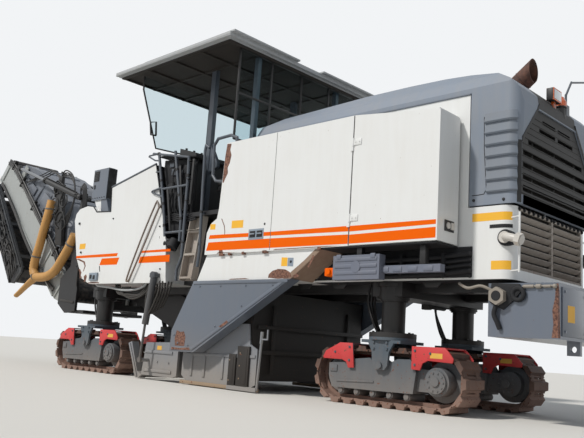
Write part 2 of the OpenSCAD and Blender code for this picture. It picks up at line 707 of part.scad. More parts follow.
// TRACK CHAIN: closed link band with shoes, each with a bevelled pad
function oval(r, n) = concat(
    [for (i = [0 : n]) [t_x + r * sin(180 * i / n), r * cos(180 * i / n)]],
    [for (i = [0 : n]) [-t_x - r * sin(180 * i / n), -r * cos(180 * i / n)]]);
module along_loop(s, r) {
    flat = 2 * t_x;
    arc = PI * r;
    if (s < flat) {
        translate([-t_x + s, 0, 0]) children();
    } else if (s < flat + arc) {
        translate([t_x, 0, 0]) rotate([0, (s - flat) / arc * 180, 0]) children();
    } else if (s < 2 * flat + arc) {
        translate([t_x - (s - flat - arc), 0, 0]) rotate([0, 180, 0]) children();
    } else {
        translate([-t_x, 0, 0]) rotate([0, 180 + (s - 2 * flat - arc) / arc * 180, 0]) children();
    }
}
module track_chain(x, s) {
    w = track_w / 2;
    rb = t_r - 36;
    p = (4 * t_x + 2 * PI * rb) / shoes;
    out = x > 0 ? front_out : 0;
    shoe = [[-0.45 * p, t_r - 58], [0.45 * p, t_r - 58], [0.45 * p, t_r - 44],
        [0.33 * p, t_r - 40], [0.25 * p, t_r - 2], [-0.25 * p, t_r - 2], [-0.33 * p, t_r - 40],
        [-0.45 * p, t_r - 44]];
    color(rust) placed() translate([x + loop_x, s * (column_y + out), t_r + 2]) {
        translate([0, 55, 0]) rotate([90, 0, 0]) linear_extrude(110) difference() {
            polygon(oval(t_r - 50, 10));
            polygon(oval(t_r - 92, 10));
        }
        for (i = [0 : shoes - 1]) along_loop((i + 0.5) * p, rb) side_plate_of(shoe, -w, w);
    }
}
module track_chain_fl() {
    track_chain(x_f, 1);
}
module track_chain_fr() {
    track_chain(x_f, -1);
}
module track_chain_rl() {
    track_chain(0, 1);
}
module track_chain_rr() {
    track_chain(0, -1);
}

// SLEWING CONSOLE: plates around the belt's head, with pins into the two lugs
module slew_console() {
    yi = conv_w / 2 + 45;
    cheek = [[slew_x + 60, 940], [tail_x - 60, 900], [tail_x + 200, 1060], [tail_x + 200, 1500],
        [tail_x - 90, 1700], [tail_x - 190, 2980], [tail_x - 330, 2980], [tail_x - 330, 1700],
        [slew_x + 60, 1300]];
    color(dark) placed() {
        both_sides() side_plate_of(cheek, yi, yi + 45);
        block(slew_x - 150, tail_x - 60, -yi, yi, 905, 955);
        block(slew_x - 100, tail_x - 200, -yi, yi, 2260, 2310);
        translate([slew_x, 0, 900]) cylinder(h = 125, r = 50);
        translate([slew_x, 0, 2195]) cylinder(h = 70, r = 50);
        rod([tail_x - 260, -yi - 1, 2900], [tail_x - 260, yi + 1, 2900], 45);
        // pivot pins of the conveyor
        both_sides() rod([tail_x, yi - 80, tail_z], [tail_x, yi + 1, tail_z], 40);
    }
}
module lift_cylinders() {
    y = conv_w / 2 + 145;
    a = [tail_x - 260, y, 2900];
    b = [tail_x + 2.22 * 1000, y, 3740];
    m = a + (b - a) * 0.55;
    color(dark) placed() both_sides() {
        rod([a[0], y - 54.7, a[2]], [a[0], y + 40, a[2]], 30);
        rod(a, m, 48);
        rod(m - (b - a) * 0.02, b - (b - a) * 0.015, 26);
        rod([b[0], y - 35, b[2]], [b[0], y + 35, b[2]], 55);
    }
}

// LOWER CONVEYOR: girders, rollers and belt, drawn along the slope
module on_lower() {
    placed() translate([tail_x, 0, tail_z]) rotate([0, -raise_deg, 0]) children();
}
module conveyor_lower_frame() {
    y = conv_w / 2;
    girder = [[-280, -120], [-100, -220], [300, -430], [lower_l - 40, -470], [lower_l - 40, 20],
        [1900, 100], [-200, 100], [-280, 20]];
    color(steel) on_lower() {
        difference() {
            both_sides() side_plate_of(girder, y - 40, y);
            both_sides() rod([0, y - 60, 0], [0, y + 20, 0], 41);
        }
        for (u = [500, 1500, 2500, 3500]) block(u, u + 80, -y + 39, y - 39, -395, -300);
        // fold lugs
        both_sides() difference() {
            union() {
                side_plate_of([[lower_l - 260, -330], [lower_l - 60, -330], [lower_l + 60, -440],
                    [lower_l + 60, fold_w - 60], [lower_l - 60, fold_w - 60]], y - 80, y - 40.5);
                block(lower_l - 240, lower_l - 60, y - 60, y - 39, -395, -340);
            }
            rod([lower_l, y - 90, fold_w], [lower_l, y - 20, fold_w], 41);
        }
        // cylinder lugs
        both_sides() block(3230, 3370, y - 3, y + 20, -20, 420);
    }
}
module conveyor_lower_belt() {
    w = conv_w / 2 - 60;
    color("#26282B") on_lower() difference() {
        union() {
            block(0, lower_l - 150, -w, w, -120, 60);
            translate([0, w, -30]) rotate([90, 0, 0]) cylinder(h = 2 * w, r = 150);
            translate([lower_l - 150, w, -30]) rotate([90, 0, 0]) cylinder(h = 2 * w, r = 130);
            for (u = [0, lower_l - 150]) rod([u, -w - 19.7, -30], [u, w + 19.7, -30], 38);
        }
        block(250, lower_l - 350, -w - 10, w + 10, -90, 30);
    }
}
module cover_form(g) {
    y = conv_w / 2 - 5 - g;
    h = 820 - g;
    intersection() {
        side_plate_of([[800, 100.4 - g], [1900, 100.4 - g], [3700, 35.6 - g], [3700 - g, 140],
            [3400, 400 - g], [2950, 600 - g], [2300, 760 - g], [1500, h], [800 + g, 640]], -y, y);
        translate([790, 0, 0]) rotate([90, 0, 90]) linear_extrude(2930)
            polygon([[-y, 0], [y, 0], [y - 30, h - 160], [y - 200, h], [200 - y, h],
                [30 - y, h - 160]]);
    }
}
module conveyor_cover() {
    color(grey) on_lower() difference() {
        cover_form(0);
        cover_form(12);
        block(790, 3720, 22 - conv_w / 2, conv_w / 2 - 22, -60, 85);
    }
}
module dust_hoses() {
    y = 660;
    top = [tail_x + 1070, y, 2910];
    knee = [tail_x + 1090, y, 2240];
    low = [tail_x + 1180, y, 1830];
    tee = [tail_x + 1080, y, 1560];
    color("#C9954F") placed() {
        bent_rod([top, knee, low, tee, [tail_x + 1800, y, 1220]], 88);
        bent_rod([tee, [tail_x + 700, y, 1490], [tail_x + 380, y, 1780], [tail_x + 20, y, 2230]], 88);
        block(tail_x + 1080, tail_x + 1160, conv_w / 2 + 0.3, y, 1800, 1900);
    }
}

// UPPER CONVEYOR: shorter section, folded back under the lower one
module on_upper() {
    on_lower() translate([lower_l, 0, fold_w]) rotate([0, fold_deg, 0]) children();
}
module conveyor_upper_frame() {
    y = conv_w / 2;
    color(steel) on_upper() {
        both_sides() side_plate_of([[60, 60], [upper_l - 60, 60], [upper_l, 140],
            [upper_l, 480], [upper_l - 100, up_h], [60, up_h]], y - 40, y);
        for (u = [300, 1200, 2100]) block(u, u + 80, -y + 39, y - 39, 65, 150);
        both_sides() side_plate_of([[-50, -50], [50, -50], [200, 100], [200, 300], [40, 300],
            [-50, 60]], y - 35 - 90, y - 35 - 50);
        both_sides() block(60, 180, y - 86, y - 39, 110, 290);
        both_sides() rod([0, y - 86, 0], [0, y - 36, 0], 40);
    }
}
module conveyor_upper_belt() {
    w = conv_w / 2 - 60;
    color("#26282B") on_upper() difference() {
        union() {
            block(330, upper_l - 150, -w, w, 330, 510);
            translate([330, w, 420]) rotate([90, 0, 0]) cylinder(h = 2 * w, r = 125);
            translate([upper_l - 150, w, 420]) rotate([90, 0, 0]) cylinder(h = 2 * w, r = 130);
            for (u = [330, upper_l - 150]) rod([u, -w - 19.7, 420], [u, w + 19.7, 420], 38);
        }
        block(520, upper_l - 350, -w - 10, w + 10, 360, 480);
    }
}

chassis_frame();
front_hull();
centre_body();
rear_hull();
engine_block();
rear_louvre();
rear_counterweight();
locker_left();
locker_right();
locker_door_left();
locker_door_right();
side_skirt_left();
side_skirt_right();
drum_housing();
drum_body();
drum_picks();
side_plate_left();
side_plate_right();
front_shield();
shield_cylinders();
primary_conveyor();
platform_deck();
platform_rails();
consoles();
seats();
canopy_roof();
canopy_posts();
windscreens();
steps();
air_filter_box();
tool_case();
engine_hood();
hood_grille();
exhaust_pipe();
rear_lamps();
rear_mirror();
track_frame_fl();
track_frame_fr();
track_frame_rl();
track_frame_rr();
track_chain_fl();
track_chain_fr();
track_chain_rl();
track_chain_rr();
slew_console();
lift_cylinders();
conveyor_lower_frame();
conveyor_lower_belt();
conveyor_cover();
dust_hoses();
conveyor_upper_frame();
conveyor_upper_belt();
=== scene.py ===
import bpy
import bmesh
from math import sin, cos, pi, radians
from mathutils import Matrix, Vector


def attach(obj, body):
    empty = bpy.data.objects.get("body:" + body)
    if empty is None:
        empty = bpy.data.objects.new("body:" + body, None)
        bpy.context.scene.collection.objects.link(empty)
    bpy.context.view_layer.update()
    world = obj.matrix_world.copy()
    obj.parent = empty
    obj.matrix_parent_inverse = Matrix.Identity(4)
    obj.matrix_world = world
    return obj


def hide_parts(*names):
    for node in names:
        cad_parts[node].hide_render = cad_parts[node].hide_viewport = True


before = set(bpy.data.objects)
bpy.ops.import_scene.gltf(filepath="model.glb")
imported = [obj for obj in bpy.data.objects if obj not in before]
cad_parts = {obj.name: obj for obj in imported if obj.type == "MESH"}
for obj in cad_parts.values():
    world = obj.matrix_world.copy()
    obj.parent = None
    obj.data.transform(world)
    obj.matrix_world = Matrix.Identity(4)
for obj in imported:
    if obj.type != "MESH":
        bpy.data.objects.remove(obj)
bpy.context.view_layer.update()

# VIEW
# The photograph was taken low and close at the machine's left rear corner, with the camera
# tipped up 10 degrees and rolled nearly 4 degrees.
SHIFT = -4.52646
cam_data = bpy.data.cameras.new("camera")
cam = bpy.data.objects.new("camera", cam_data)
bpy.context.scene.collection.objects.link(cam)
bpy.context.scene.camera = cam
yaw, pitch, roll = radians(-44.097), radians(10.062), radians(3.801)
forward = Vector((sin(-yaw) * cos(pitch), -cos(yaw) * cos(pitch), sin(pitch)))
level = forward.cross(Vector((0, 0, 1))).normalized()
above = level.cross(forward)
right = level * cos(roll) + above * sin(roll)
above = above * cos(roll) - level * sin(roll)
turn = Matrix((right, above, -forward)).transposed().to_4x4()
cam.matrix_world = Matrix.Translation((-4.673 + SHIFT, 7.189, 0.529)) @ turn
cam_data.sensor_width = 36
cam_data.lens = 735.179 / 584 * 36
cam_data.clip_end = 200

# FLOOR AND LIGHT
# A pale studio floor, one soft key from the machine's front left and a pale sky all round.
bpy.context.scene.view_settings.view_transform = "Standard"


def lin(code):
    parts = [int(code[i:i + 2], 16) / 255 for i in (1, 3, 5)]
    return [v / 12.92 if v <= 0.04045 else ((v + 0.055) / 1.055) ** 2.4 for v in parts] + [1]


def node(mat, kind, settings=None, **links):
    made = mat.node_tree.nodes.new("ShaderNode" + kind)
    for name, value in (settings or {}).items():
        setattr(made, name, value)
    for name, value in links.items():
        key = int(name[1:]) if name[1:].isdigit() else name.replace("_", " ")
        socket = made.inputs[key]
        if isinstance(value, bpy.types.NodeSocket):
            mat.node_tree.links.new(value, socket)
        else:
            socket.default_value = value
    return made


def material(name):
    mat = bpy.data.materials.new(name)
    mat.use_nodes = True
    mat.node_tree.nodes.clear()
    return mat


def surface(mat, **links):
    shader = node(mat, "BsdfPrincipled", **links)
    node(mat, "OutputMaterial", Surface=shader.outputs[0])
    return shader


world = bpy.data.worlds.new("studio sky")
bpy.context.scene.world = world
world.use_nodes = True
world.node_tree.nodes.clear()
glow = node(world, "Background", Color=lin("#DCE6F2"), Strength=0.42).outputs[0]
seen = node(world, "Background", Color=lin("#F2F4F6"), Strength=1.0).outputs[0]
ray = node(world, "LightPath").outputs
direct = node(world, "Math", {"operation": "MAXIMUM"}, _0=ray["Is Camera Ray"],
              _1=ray["Is Glossy Ray"]).outputs[0]
sky = node(world, "MixShader", _0=direct, _1=glow, _2=seen).outputs[0]
node(world, "OutputWorld", Surface=sky)

floor_mat = material("pale studio floor")
surface(floor_mat, Base_Color=lin("#D9D6D0"), Roughness=0.9)
bm = bmesh.new()
bmesh.ops.create_grid(bm, x_segments=1, y_segments=1, size=60)
mesh = bpy.data.meshes.new("floor")
bm.to_mesh(mesh)
bm.free()
floor = bpy.data.objects.new("floor", mesh)
floor.data.materials.append(floor_mat)
bpy.context.scene.collection.objects.link(floor)

sun = bpy.data.lights.new("key", "SUN")
sun.energy = 2.75
sun.angle = radians(5)
sun.color = (1.0, 0.97, 0.92)
sun_ob = bpy.data.objects.new("key", sun)
sun_ob.rotation_euler = Vector((-0.35, -0.8, -0.9)).to_track_quat("-Z", "Y").to_euler()
bpy.context.scene.collection.objects.link(sun_ob)

# CHASSIS FRAME
# Box girders cut and welded from thick steel plate, sprayed with a dark grey coat that is darkened
# to near black as painted shade under the hull. Road dust lies on everything low, and the coat is
# chipped through to rust at random spots.


def sprayed(name, coat, roughness, dust="#9A8878", dusty=0.5, top=1.5, chip=0.7, gloss=0.0):
    # Machinery paint: clouds of fading 0.5 m across, rain marks 60 mm wide and drawn out down the
    # wall, dust that thins out up to the height "top", and chips from 5 to 30 mm across.
    mat = material(name)
    place = node(mat, "TexCoord").outputs["Object"]
    cloud = node(mat, "TexNoise", Vector=place, Scale=2.0, Detail=6.0).outputs[0]
    drawn = node(mat, "Mapping", Vector=place, Scale=(1.0, 1.0, 0.1)).outputs[0]
    rain = node(mat, "TexNoise", Vector=drawn, Scale=16.0, Detail=4.0).outputs[0]
    grit = node(mat, "TexNoise", Vector=place, Scale=38.0, Detail=8.0).outputs[0]
    height = node(mat, "SeparateXYZ", Vector=place).outputs[2]
    low = node(mat, "MapRange", Value=height, From_Min=top, From_Max=0.15).outputs[0]
    patch = node(mat, "Math", {"operation": "MULTIPLY"}, _0=cloud, _1=rain).outputs[0]
    film = node(mat, "MapRange", Value=patch, From_Min=0.14, From_Max=0.4, To_Max=dusty).outputs[0]
    soot = node(mat, "Math", {"operation": "MULTIPLY"}, _0=low, _1=dusty * 1.5).outputs[0]
    both = node(mat, "Math", {"operation": "MULTIPLY_ADD", "use_clamp": True}, _0=film, _1=0.45,
                _2=soot).outputs[0]
    tint = node(mat, "Mix", {"data_type": "RGBA"}, Factor=both, _6=lin(coat), _7=lin(dust))
    bare = node(mat, "MapRange", Value=grit, From_Min=chip, From_Max=chip + 0.02).outputs[0]
    worn = node(mat, "Mix", {"data_type": "RGBA"}, Factor=bare, _6=tint.outputs[2],
                _7=lin("#6B3E28"))
    rough = node(mat, "MapRange", Value=both, To_Min=roughness, To_Max=0.85).outputs[0]
    swell = node(mat, "Bump", Strength=0.25, Distance=0.0015, Height=grit).outputs[0]
    surface(mat, Base_Color=worn.outputs[2], Roughness=rough, Normal=swell, Coat_Weight=gloss,
            Coat_Roughness=0.15)
    return mat


# The frame paint is a real dark grey, darkened to near black as painted shade.
frame_paint_and_shade = sprayed("dark grey machinery paint and painted shade", "#0E0F12", 0.5, "#3B342E", 0.2, 1.4, 0.72,
                      gloss=0.06)
white_paint = sprayed("off-white polyurethane paint", "#E2E3E2", 0.36, "#B5A792", 0.18, 1.5, 0.75,
                      gloss=0.35)


def paint(mat, *names):
    for name in names:
        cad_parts[name].data.materials[0] = mat


paint(frame_paint_and_shade, "chassis_frame", "centre_body", "engine_block", "drum_housing",
      "primary_conveyor", "platform_deck", "consoles", "slew_console")
rail_paint = sprayed("slate blue-grey rail paint", "#454D57", 0.4, "#7D7064", 0.25, 1.5, 0.72,
                     gloss=0.2)
paint(rail_paint, "platform_rails", "canopy_posts", "rear_mirror")
paint(white_paint, "front_hull", "rear_hull", "locker_left", "locker_right", "locker_door_left",
      "locker_door_right")
SIDES = ((1, "left"), (-1, "right"))
bm = bmesh.new()


def slab(outline, near, far, edge=0.004, axis="Y"):
    # Plate cut to an outline, drawn out along one axis, with its edges rounded over. Like every
    # helper here it works on the open mesh "bm", which add() closes as a piece.
    spot = {"X": lambda a, b: (near + SHIFT, a, b), "Y": lambda a, b: (a + SHIFT, near, b),
            "Z": lambda a, b: (a + SHIFT, b, near)}[axis]
    face = bm.faces.new([bm.verts.new(spot(a, b)) for a, b in outline])
    grown = bmesh.ops.extrude_face_region(bm, geom=[face])["geom"]
    moved = [v for v in grown if isinstance(v, bmesh.types.BMVert)]
    step = Vector((axis == "X", axis == "Y", axis == "Z")) * (far - near)
    bmesh.ops.translate(bm, vec=step, verts=moved)
    rims = list({e for v in moved for f in v.link_faces for e in f.edges})
    if edge:
        bmesh.ops.bevel(bm, geom=rims, offset=edge, offset_type="OFFSET", segments=2, profile=0.5,
                        affect="EDGES", material=-1, clamp_overlap=True)


def brick(x, y, z, edge=0.004):
    slab([(x[0], z[0]), (x[1], z[0]), (x[1], z[1]), (x[0], z[1])], y[0], y[1], edge)


def span(side, near, far, mid=0.0):
    # The y from one distance to another, on either side of a middle plane.
    return sorted((mid + side * near, mid + side * far))


def bar(start, end, radius, far=None, sides=20):
    # Turned or drawn round bar between two points, its rims rounded by up to 3 mm.
    start, end = Vector(start) + Vector((SHIFT, 0, 0)), Vector(end) + Vector((SHIFT, 0, 0))
    way = end - start
    turn = way.to_track_quat("Z", "Y").to_matrix().to_4x4()
    made = bmesh.ops.create_cone(bm, cap_ends=True, segments=sides, radius1=radius,
                                 radius2=radius if far is None else far, depth=way.length,
                                 matrix=Matrix.Translation((start + end) / 2) @ turn)["verts"]
    rims = list({e for v in made for e in v.link_edges
                 if max(len(f.verts) for f in e.link_faces) > 4})
    if sides > 8:
        bmesh.ops.bevel(bm, geom=rims, offset=min(0.003, radius * 0.15), offset_type="OFFSET",
                        segments=1, profile=0.5, affect="EDGES", material=-1)


def bolts(spots, out, size=0.012):
    # Hexagon heads on washers, set on a face whose outward direction is "out".
    out = Vector(out)
    for spot in spots:
        spot = Vector(spot)
        bar(spot - out * size * 0.2, spot + out * size * 0.25, size * 1.35, sides=10)
        bar(spot + out * size * 0.1, spot + out * size * 0.95, size, sides=6)


def both_sides():
    bmesh.ops.mirror(bm, geom=bm.verts[:] + bm.edges[:] + bm.faces[:], matrix=Matrix.Identity(4),
                     merge_dist=0, axis="Y")


def add(name, mat, body="machine", angle=35):
    # Closes the open mesh as a piece that moves with "body", and opens the next one.
    global bm
    bmesh.ops.recalc_face_normals(bm, faces=bm.faces)
    mesh = bpy.data.meshes.new(name)
    bm.to_mesh(mesh)
    bm.free()
    bm = bmesh.new()
    mesh.polygons.foreach_set("use_smooth", [True] * len(mesh.polygons))
    mesh.set_sharp_from_angle(angle=radians(angle))
    mesh.materials.append(mat)
    made = bpy.data.objects.new(name, mesh)
    bpy.context.scene.collection.objects.link(made)
    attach(made, body)
    return made


def pair(name, mat, body="machine"):
    both_sides()
    return add(name, mat, body)


for x in (-0.62, 0.62, 1.15, 2.6, 4.9):
    slab([(x, 1.32), (x + 0.26, 1.32), (x + 0.2, 1.25), (x + 0.06, 1.25)], 0.735, 0.75)
bolts([(x, 0.876, 1.34) for x in (-1.0, -0.7, -0.4, 0.4, 0.7, 1.0)], (0, 1, 0))
pair("frame_gussets", frame_paint_and_shade)

# SIDE LOCKERS
# Tall steel boxes along both sides of the engine, closed by flush sheet panels. Two orange vinyl
# stripes run along the foot, over rusted catches, and the signs are blank plates and labels.
seam = material("shadowed rubber seam")
surface(seam, Base_Color=lin("#15161A"), Roughness=0.8)
orange = sprayed("orange vinyl stripe", "#EE6200", 0.5, "#D97A30", 0.15, 1.5, 0.76)
for shader in orange.node_tree.nodes:
    if shader.type == "BSDF_PRINCIPLED":
        shader.inputs["Specular IOR Level"].default_value = 0.08
yellow = sprayed("yellow vinyl label", "#F0B429", 0.5, "#B89B6A", 0.3, 1.5, 0.74)


def mottled(name, scale, detail, low, high, start, end, relief, strength, depth, **finish):
    # Two shades in patches of noise. The texture that "relief" makes stands out by "depth" metres,
    # or the patches themselves do.
    mat = material(name)
    place = node(mat, "TexCoord").outputs["Object"]
    patch = node(mat, "TexNoise", Vector=place, Scale=scale, Detail=detail).outputs[0]
    shade = node(mat, "ValToRGB", Fac=patch)
    for stop, spot, code in zip(shade.color_ramp.elements, (start, end), (low, high)):
        stop.position, stop.color = spot, lin(code)
    raised = relief(mat, place) if relief else patch
    bump = node(mat, "Bump", Strength=strength, Distance=depth, Height=raised).outputs[0]
    surface(mat, Base_Color=shade.outputs[0], Normal=bump, **finish)
    return mat


# The outer faces of the lockers and of the body under them.
LOCKER, BODY = 1.2745, 1.2445


def films(face, thick, *outlines):
    # Vinyl, rust or a beige film: thin layers cut to their outlines on an upright wall.
    for outline in outlines:
        slab(outline, face, face + thick, 0)


# Rust blooms 10 to 40 mm across, with a crust that stands 1 mm proud.
rust = mottled("surface rust", 45.0, 9.0, "#4A3029", "#8C6452", 0.35, 0.65, None, 0.6, 0.001,
               Roughness=0.85)
films(LOCKER, 0.0017, [(1.395, 1.818), (2.5, 1.84), (2.485, 1.888), (1.395, 1.864)],
      [(1.395, 1.675), (2.535, 1.69), (2.5, 1.795), (1.395, 1.785)],
      [(0.222, 1.795), (1.385, 1.817), (1.385, 1.864), (0.222, 1.853)],
      [(0.222, 1.662), (1.385, 1.674), (1.385, 1.785), (0.222, 1.762)])
pair("locker_stripes", orange)
films(LOCKER, 0.0012, [(1.387, 1.645), (1.393, 1.645), (1.393, 3.066), (1.387, 3.066)])
films(1.27, 0.0057, [(0.2145, 1.645), (0.2195, 1.645), (0.2195, 3.066), (0.2145, 3.066)])
for x in (1.525, 1.645):
    brick((x, x + 0.1), (1.2748, 1.279), (1.812, 1.892))
bar((1.06, 1.244, 1.505), (1.06, 1.2472, 1.505), 0.017, sides=12)
bar((1.5, 1.244, 1.965), (1.5, 1.2765, 1.965), 0.017, sides=12)
pair("locker_seams", seam)
for x, half in ((2.24, 0.038), (2.09, 0.024), (1.84, 0.024), (1.47, 0.038), (0.62, 0.024)):
    brick((x - half, x + half), (1.2446, 1.278), (1.616, 1.65))
pair("locker_catches", rust)
plate_grey = sprayed("galvanised steel", "#A9ADB0", 0.35, "#8E8371", 0.25, 1.5, 0.74)
cast_alloy = sprayed("cast light alloy", "#C9C5BF", 0.4, "#8E8371", 0.25, 1.5, 0.74)
blued = sprayed("blue-grey pressed plate", "#8592A0", 0.4, "#8E8371", 0.2, 1.5, 0.74)
brick((1.505, 1.765), (1.2745, 1.2775), (1.785, 1.915), 0.001)
for x in (1.535, 1.655):
    bar((x, 1.283, 1.855), (x + 0.08, 1.283, 1.855), 0.009, sides=12)
films(BODY + 0.0001, 0.0012, [(1.02, 1.45), (1.11, 1.455), (1.11, 1.553), (1.02, 1.548)])
pair("locker_handle_plates", blued)
films(LOCKER + 0.0001, 0.0012, [(1.875, 1.945), (2.085, 1.95), (2.085, 2.045), (1.875, 2.04)],
      [(2.39, 1.955), (2.49, 1.96), (2.49, 2.03), (2.39, 2.025)])
films(BODY + 0.0001, 0.0012, [(1.115, 1.455), (1.21, 1.46), (1.21, 1.56), (1.115, 1.555)])
pair("locker_labels", yellow)
films(BODY + 0.0001, 0.001,
      [(1.03, 1.335), (1.1, 1.32), (1.25, 1.315), (1.41, 1.33), (1.4, 1.37), (1.34, 1.41),
       (1.25, 1.428), (1.14, 1.42), (1.07, 1.39)],
      [(0.92, 1.34), (0.98, 1.322), (1.02, 1.345), (0.96, 1.37)],
      [(0.7, 1.55), (0.78, 1.43), (0.8, 1.44), (0.73, 1.57)],
      [(1.72, 1.32), (2.1, 1.318), (2.05, 1.33), (1.8, 1.332)])
films(LOCKER + 0.0001, 0.0009,
      [(2.291, 3.06), (2.21, 3.05), (2.226, 2.97), (2.195, 2.9), (2.215, 2.8), (2.25, 2.74),
       (2.235, 2.67), (2.28, 2.6), (2.305, 2.55), (2.327, 2.56), (2.313, 2.9)],
      [(0.3, 1.645), (1.33, 1.645), (1.3, 1.655), (0.5, 1.654)],
      [(2.29, 2.085), (2.27, 2.055), (2.229, 1.99), (2.209, 1.92), (2.205, 1.85), (2.194, 1.85),
       (2.196, 1.92), (2.213, 1.99), (2.254, 2.052), (2.272, 2.085)],
      [(2.2, 1.648), (2.29, 1.645), (2.285, 1.685), (2.22, 1.69)],
      [(1.9, 1.645), (2.33, 1.645), (2.3, 1.66), (2.1, 1.652)])
pair("locker_rust_marks", rust)
# A beige film covers the slanted lower edge of the body behind the skirt and a strip of the side
# face beside it.
beige_film = sprayed("slanted beige film", "#9C8979", 0.9, "#7C6452", 0.7, 2.2, 0.8)
films(BODY + 0.0001, 0.0008,
      [(1.17, 1.3105), (1.048, 1.3105), (0.601, 1.632), (0.7, 1.632), (0.86, 1.51)])
films(0.872, 0.3734, [(1.052, 1.3115), (0.603, 1.6325), (0.6, 1.629), (1.047, 1.308)])
pair("slant_beige_film", beige_film)

# LOCKER DOORS
# The rear third of each locker is a door on two pin hinges. Its stripes line up with those beside
# it, and an over-centre latch holds its returned rear edge.
for side, name in SIDES:
    films(side * LOCKER, side * 0.0017,
          [(-0.855, 1.8), (0.205, 1.792), (0.205, 1.852), (-0.855, 1.845)],
          [(-0.855, 1.668), (0.205, 1.662), (0.205, 1.758), (-0.855, 1.772)])
    add("door_stripes_" + name, orange, "door_" + name)
    for z in (1.84, 2.67):
        bar((0.21, side * 1.28, z + 0.049), (0.21, side * 1.28, z + 0.141), 0.0135)
        brick((0.1, 0.205), span(side, 1.274, 1.283), (z + 0.06, z + 0.13), 0.003)
    bolts([(x, side * 1.283, z + 0.095) for x in (0.125, 0.175) for z in (1.84, 2.67)],
          (0, side, 0), 0.007)
    add("door_hinges_" + name, white_paint, "door_" + name)
    brick((-0.88, -0.869), span(side, 0.985, 1.15), (1.755, 1.865))
    add("door_latch_plate_" + name, frame_paint_and_shade, "door_" + name)
    bar((-0.879, side * 1.1, 1.81), (-0.893, side * 1.1, 1.81), 0.032, sides=16)
    brick((-0.899, -0.879), span(side, 1.0, 1.06), (1.775, 1.845), 0.006)
    add("door_latch_lever_" + name, cast_alloy, "door_" + name)

# FRONT TANK
# One welded body for fuel and water ahead of the platform, painted as the rest. A tube strip edges
# its top, a bent tube grab bar is bolted to its side, and rust runs down from its low couplings.


def sweep(path, radii, sides=12, flat=1.0):
    # Tube drawn along a path by extruding a ring of edges; "flat" squeezes it across.
    path = [Vector(p) + Vector((SHIFT, 0, 0)) for p in path]
    if not isinstance(radii, (list, tuple)):
        radii = [radii] * len(path)
    way = (path[1] - path[0]).normalized()
    turn = way.to_track_quat("Z", "Y").to_matrix().to_4x4()
    at = Matrix.Translation(path[0]) @ turn @ Matrix.Diagonal((radii[0], radii[0] * flat, 1, 1))
    ring = bmesh.ops.create_circle(bm, cap_ends=True, segments=sides, radius=1, matrix=at)["verts"]
    edges = list({e for v in ring for e in v.link_edges})
    for i in range(1, len(path)):
        ahead = (path[min(i + 1, len(path) - 1)] - path[i - 1]).normalized()
        turn = way.rotation_difference(ahead).to_matrix().to_4x4() @ turn
        new = Matrix.Translation(path[i]) @ turn @ Matrix.Diagonal((radii[i], radii[i] * flat, 1,
                                                                    1))
        made = bmesh.ops.extrude_edge_only(bm, edges=edges)["geom"]
        ring = [v for v in made if isinstance(v, bmesh.types.BMVert)]
        edges = [e for e in made if isinstance(e, bmesh.types.BMEdge)]
        bmesh.ops.transform(bm, matrix=new @ at.inverted(), verts=ring)
        at, way = new, ahead
    bmesh.ops.contextual_create(bm, geom=edges)


def curved(points, steps=6):
    # Smooth run through its points, for bent tube, hose and cable.
    p = [Vector(points[0])] + [Vector(v) for v in points] + [Vector(points[-1])]
    run = []
    for i in range(1, len(p) - 2):
        for k in range(steps):
            t = k / steps
            run.append(0.5 * (2 * p[i] + (p[i + 1] - p[i - 1]) * t
                              + (2 * p[i - 1] - 5 * p[i] + 4 * p[i + 1] - p[i + 2]) * t * t
                              + (3 * p[i] - p[i - 1] - 3 * p[i + 1] + p[i + 2]) * t ** 3))
    return run + [p[-1]]


def hose(points, radius, sides=8):
    sweep(curved(points), radius, sides)


# The outer face of the tank.
TANK = 1.1795
films(TANK, 0.0017, [(3.41, 1.593), (4.13, 1.598), (4.1, 1.69), (3.41, 1.69)],
      [(4.68, 1.595), (5.15, 1.6), (5.1, 1.7), (4.63, 1.697)],
      [(4.7, 1.72), (5.855, 1.73), (5.85, 1.768), (4.68, 1.766)],
      [(3.41, 1.735), (4.08, 1.742), (4.07, 1.772), (3.41, 1.772)])
pair("tank_stripes", orange)
bar((5.86, 1.179, 2.29), (5.86, 1.2, 2.29), 0.019)
bar((5.72, 1.179, 1.82), (5.72, 1.197, 1.82), 0.016)
for x, z in ((5.315, 1.425), (5.225, 1.415)):
    brick((x - 0.025, x + 0.025), (1.2, 1.217), (z - 0.03, z + 0.03))
slab([(5.11, 1.505), (5.13, 1.5), (5.155, 1.585), (5.135, 1.59)], 1.1795, 1.1812, 0)
pair("tank_caps", frame_paint_and_shade)
brick((5.15, 5.37), (1.179, 1.2085), (1.365, 1.485), 0.006)
pair("tank_couplings", blued)
films(TANK, 0.001,
      [(5.84, 1.7), (5.8, 1.705), (5.62, 1.655), (5.57, 1.6), (5.6, 1.52), (5.58, 1.515),
       (5.54, 1.6), (5.58, 1.67), (5.76, 1.72), (5.83, 1.715)],
      [(5.56, 1.44), (5.5, 1.47), (5.47, 1.43), (5.49, 1.36), (5.54, 1.35)],
      [(5.74, 1.55), (5.7, 1.56), (5.64, 1.5), (5.66, 1.44), (5.6, 1.43), (5.67, 1.4), (5.7, 1.5)],
      [(5.42, 1.34), (5.28, 1.345), (5.1, 1.338), (5.1, 1.325), (5.42, 1.325)])
pair("tank_stains", rust)
bar_brown = sprayed("worn brown-grey tube paint", "#776C66", 0.5, "#8F7F6F", 0.5, 2.4, 0.62)
hose([(3.715, 1.18, 2.37), (3.71, 1.222, 2.35), (3.96, 1.222, 1.88), (4.245, 1.222, 1.385),
      (4.285, 1.218, 1.35), (4.325, 1.216, 1.395), (4.06, 1.222, 1.94), (3.8, 1.222, 2.41),
      (3.755, 1.222, 2.445), (3.712, 1.222, 2.38)], 0.0125, 12)
pair("tank_grab_bars", bar_brown)
brick((5.615, 5.785), (1.179, 1.1812), (1.872, 1.958), 0)
pair("tank_labels", yellow)
sweep([(3.94, 1.174, 3.03), (5.035, 1.174, 2.803)], 0.017)
pair("tank_top_strip", rail_paint)
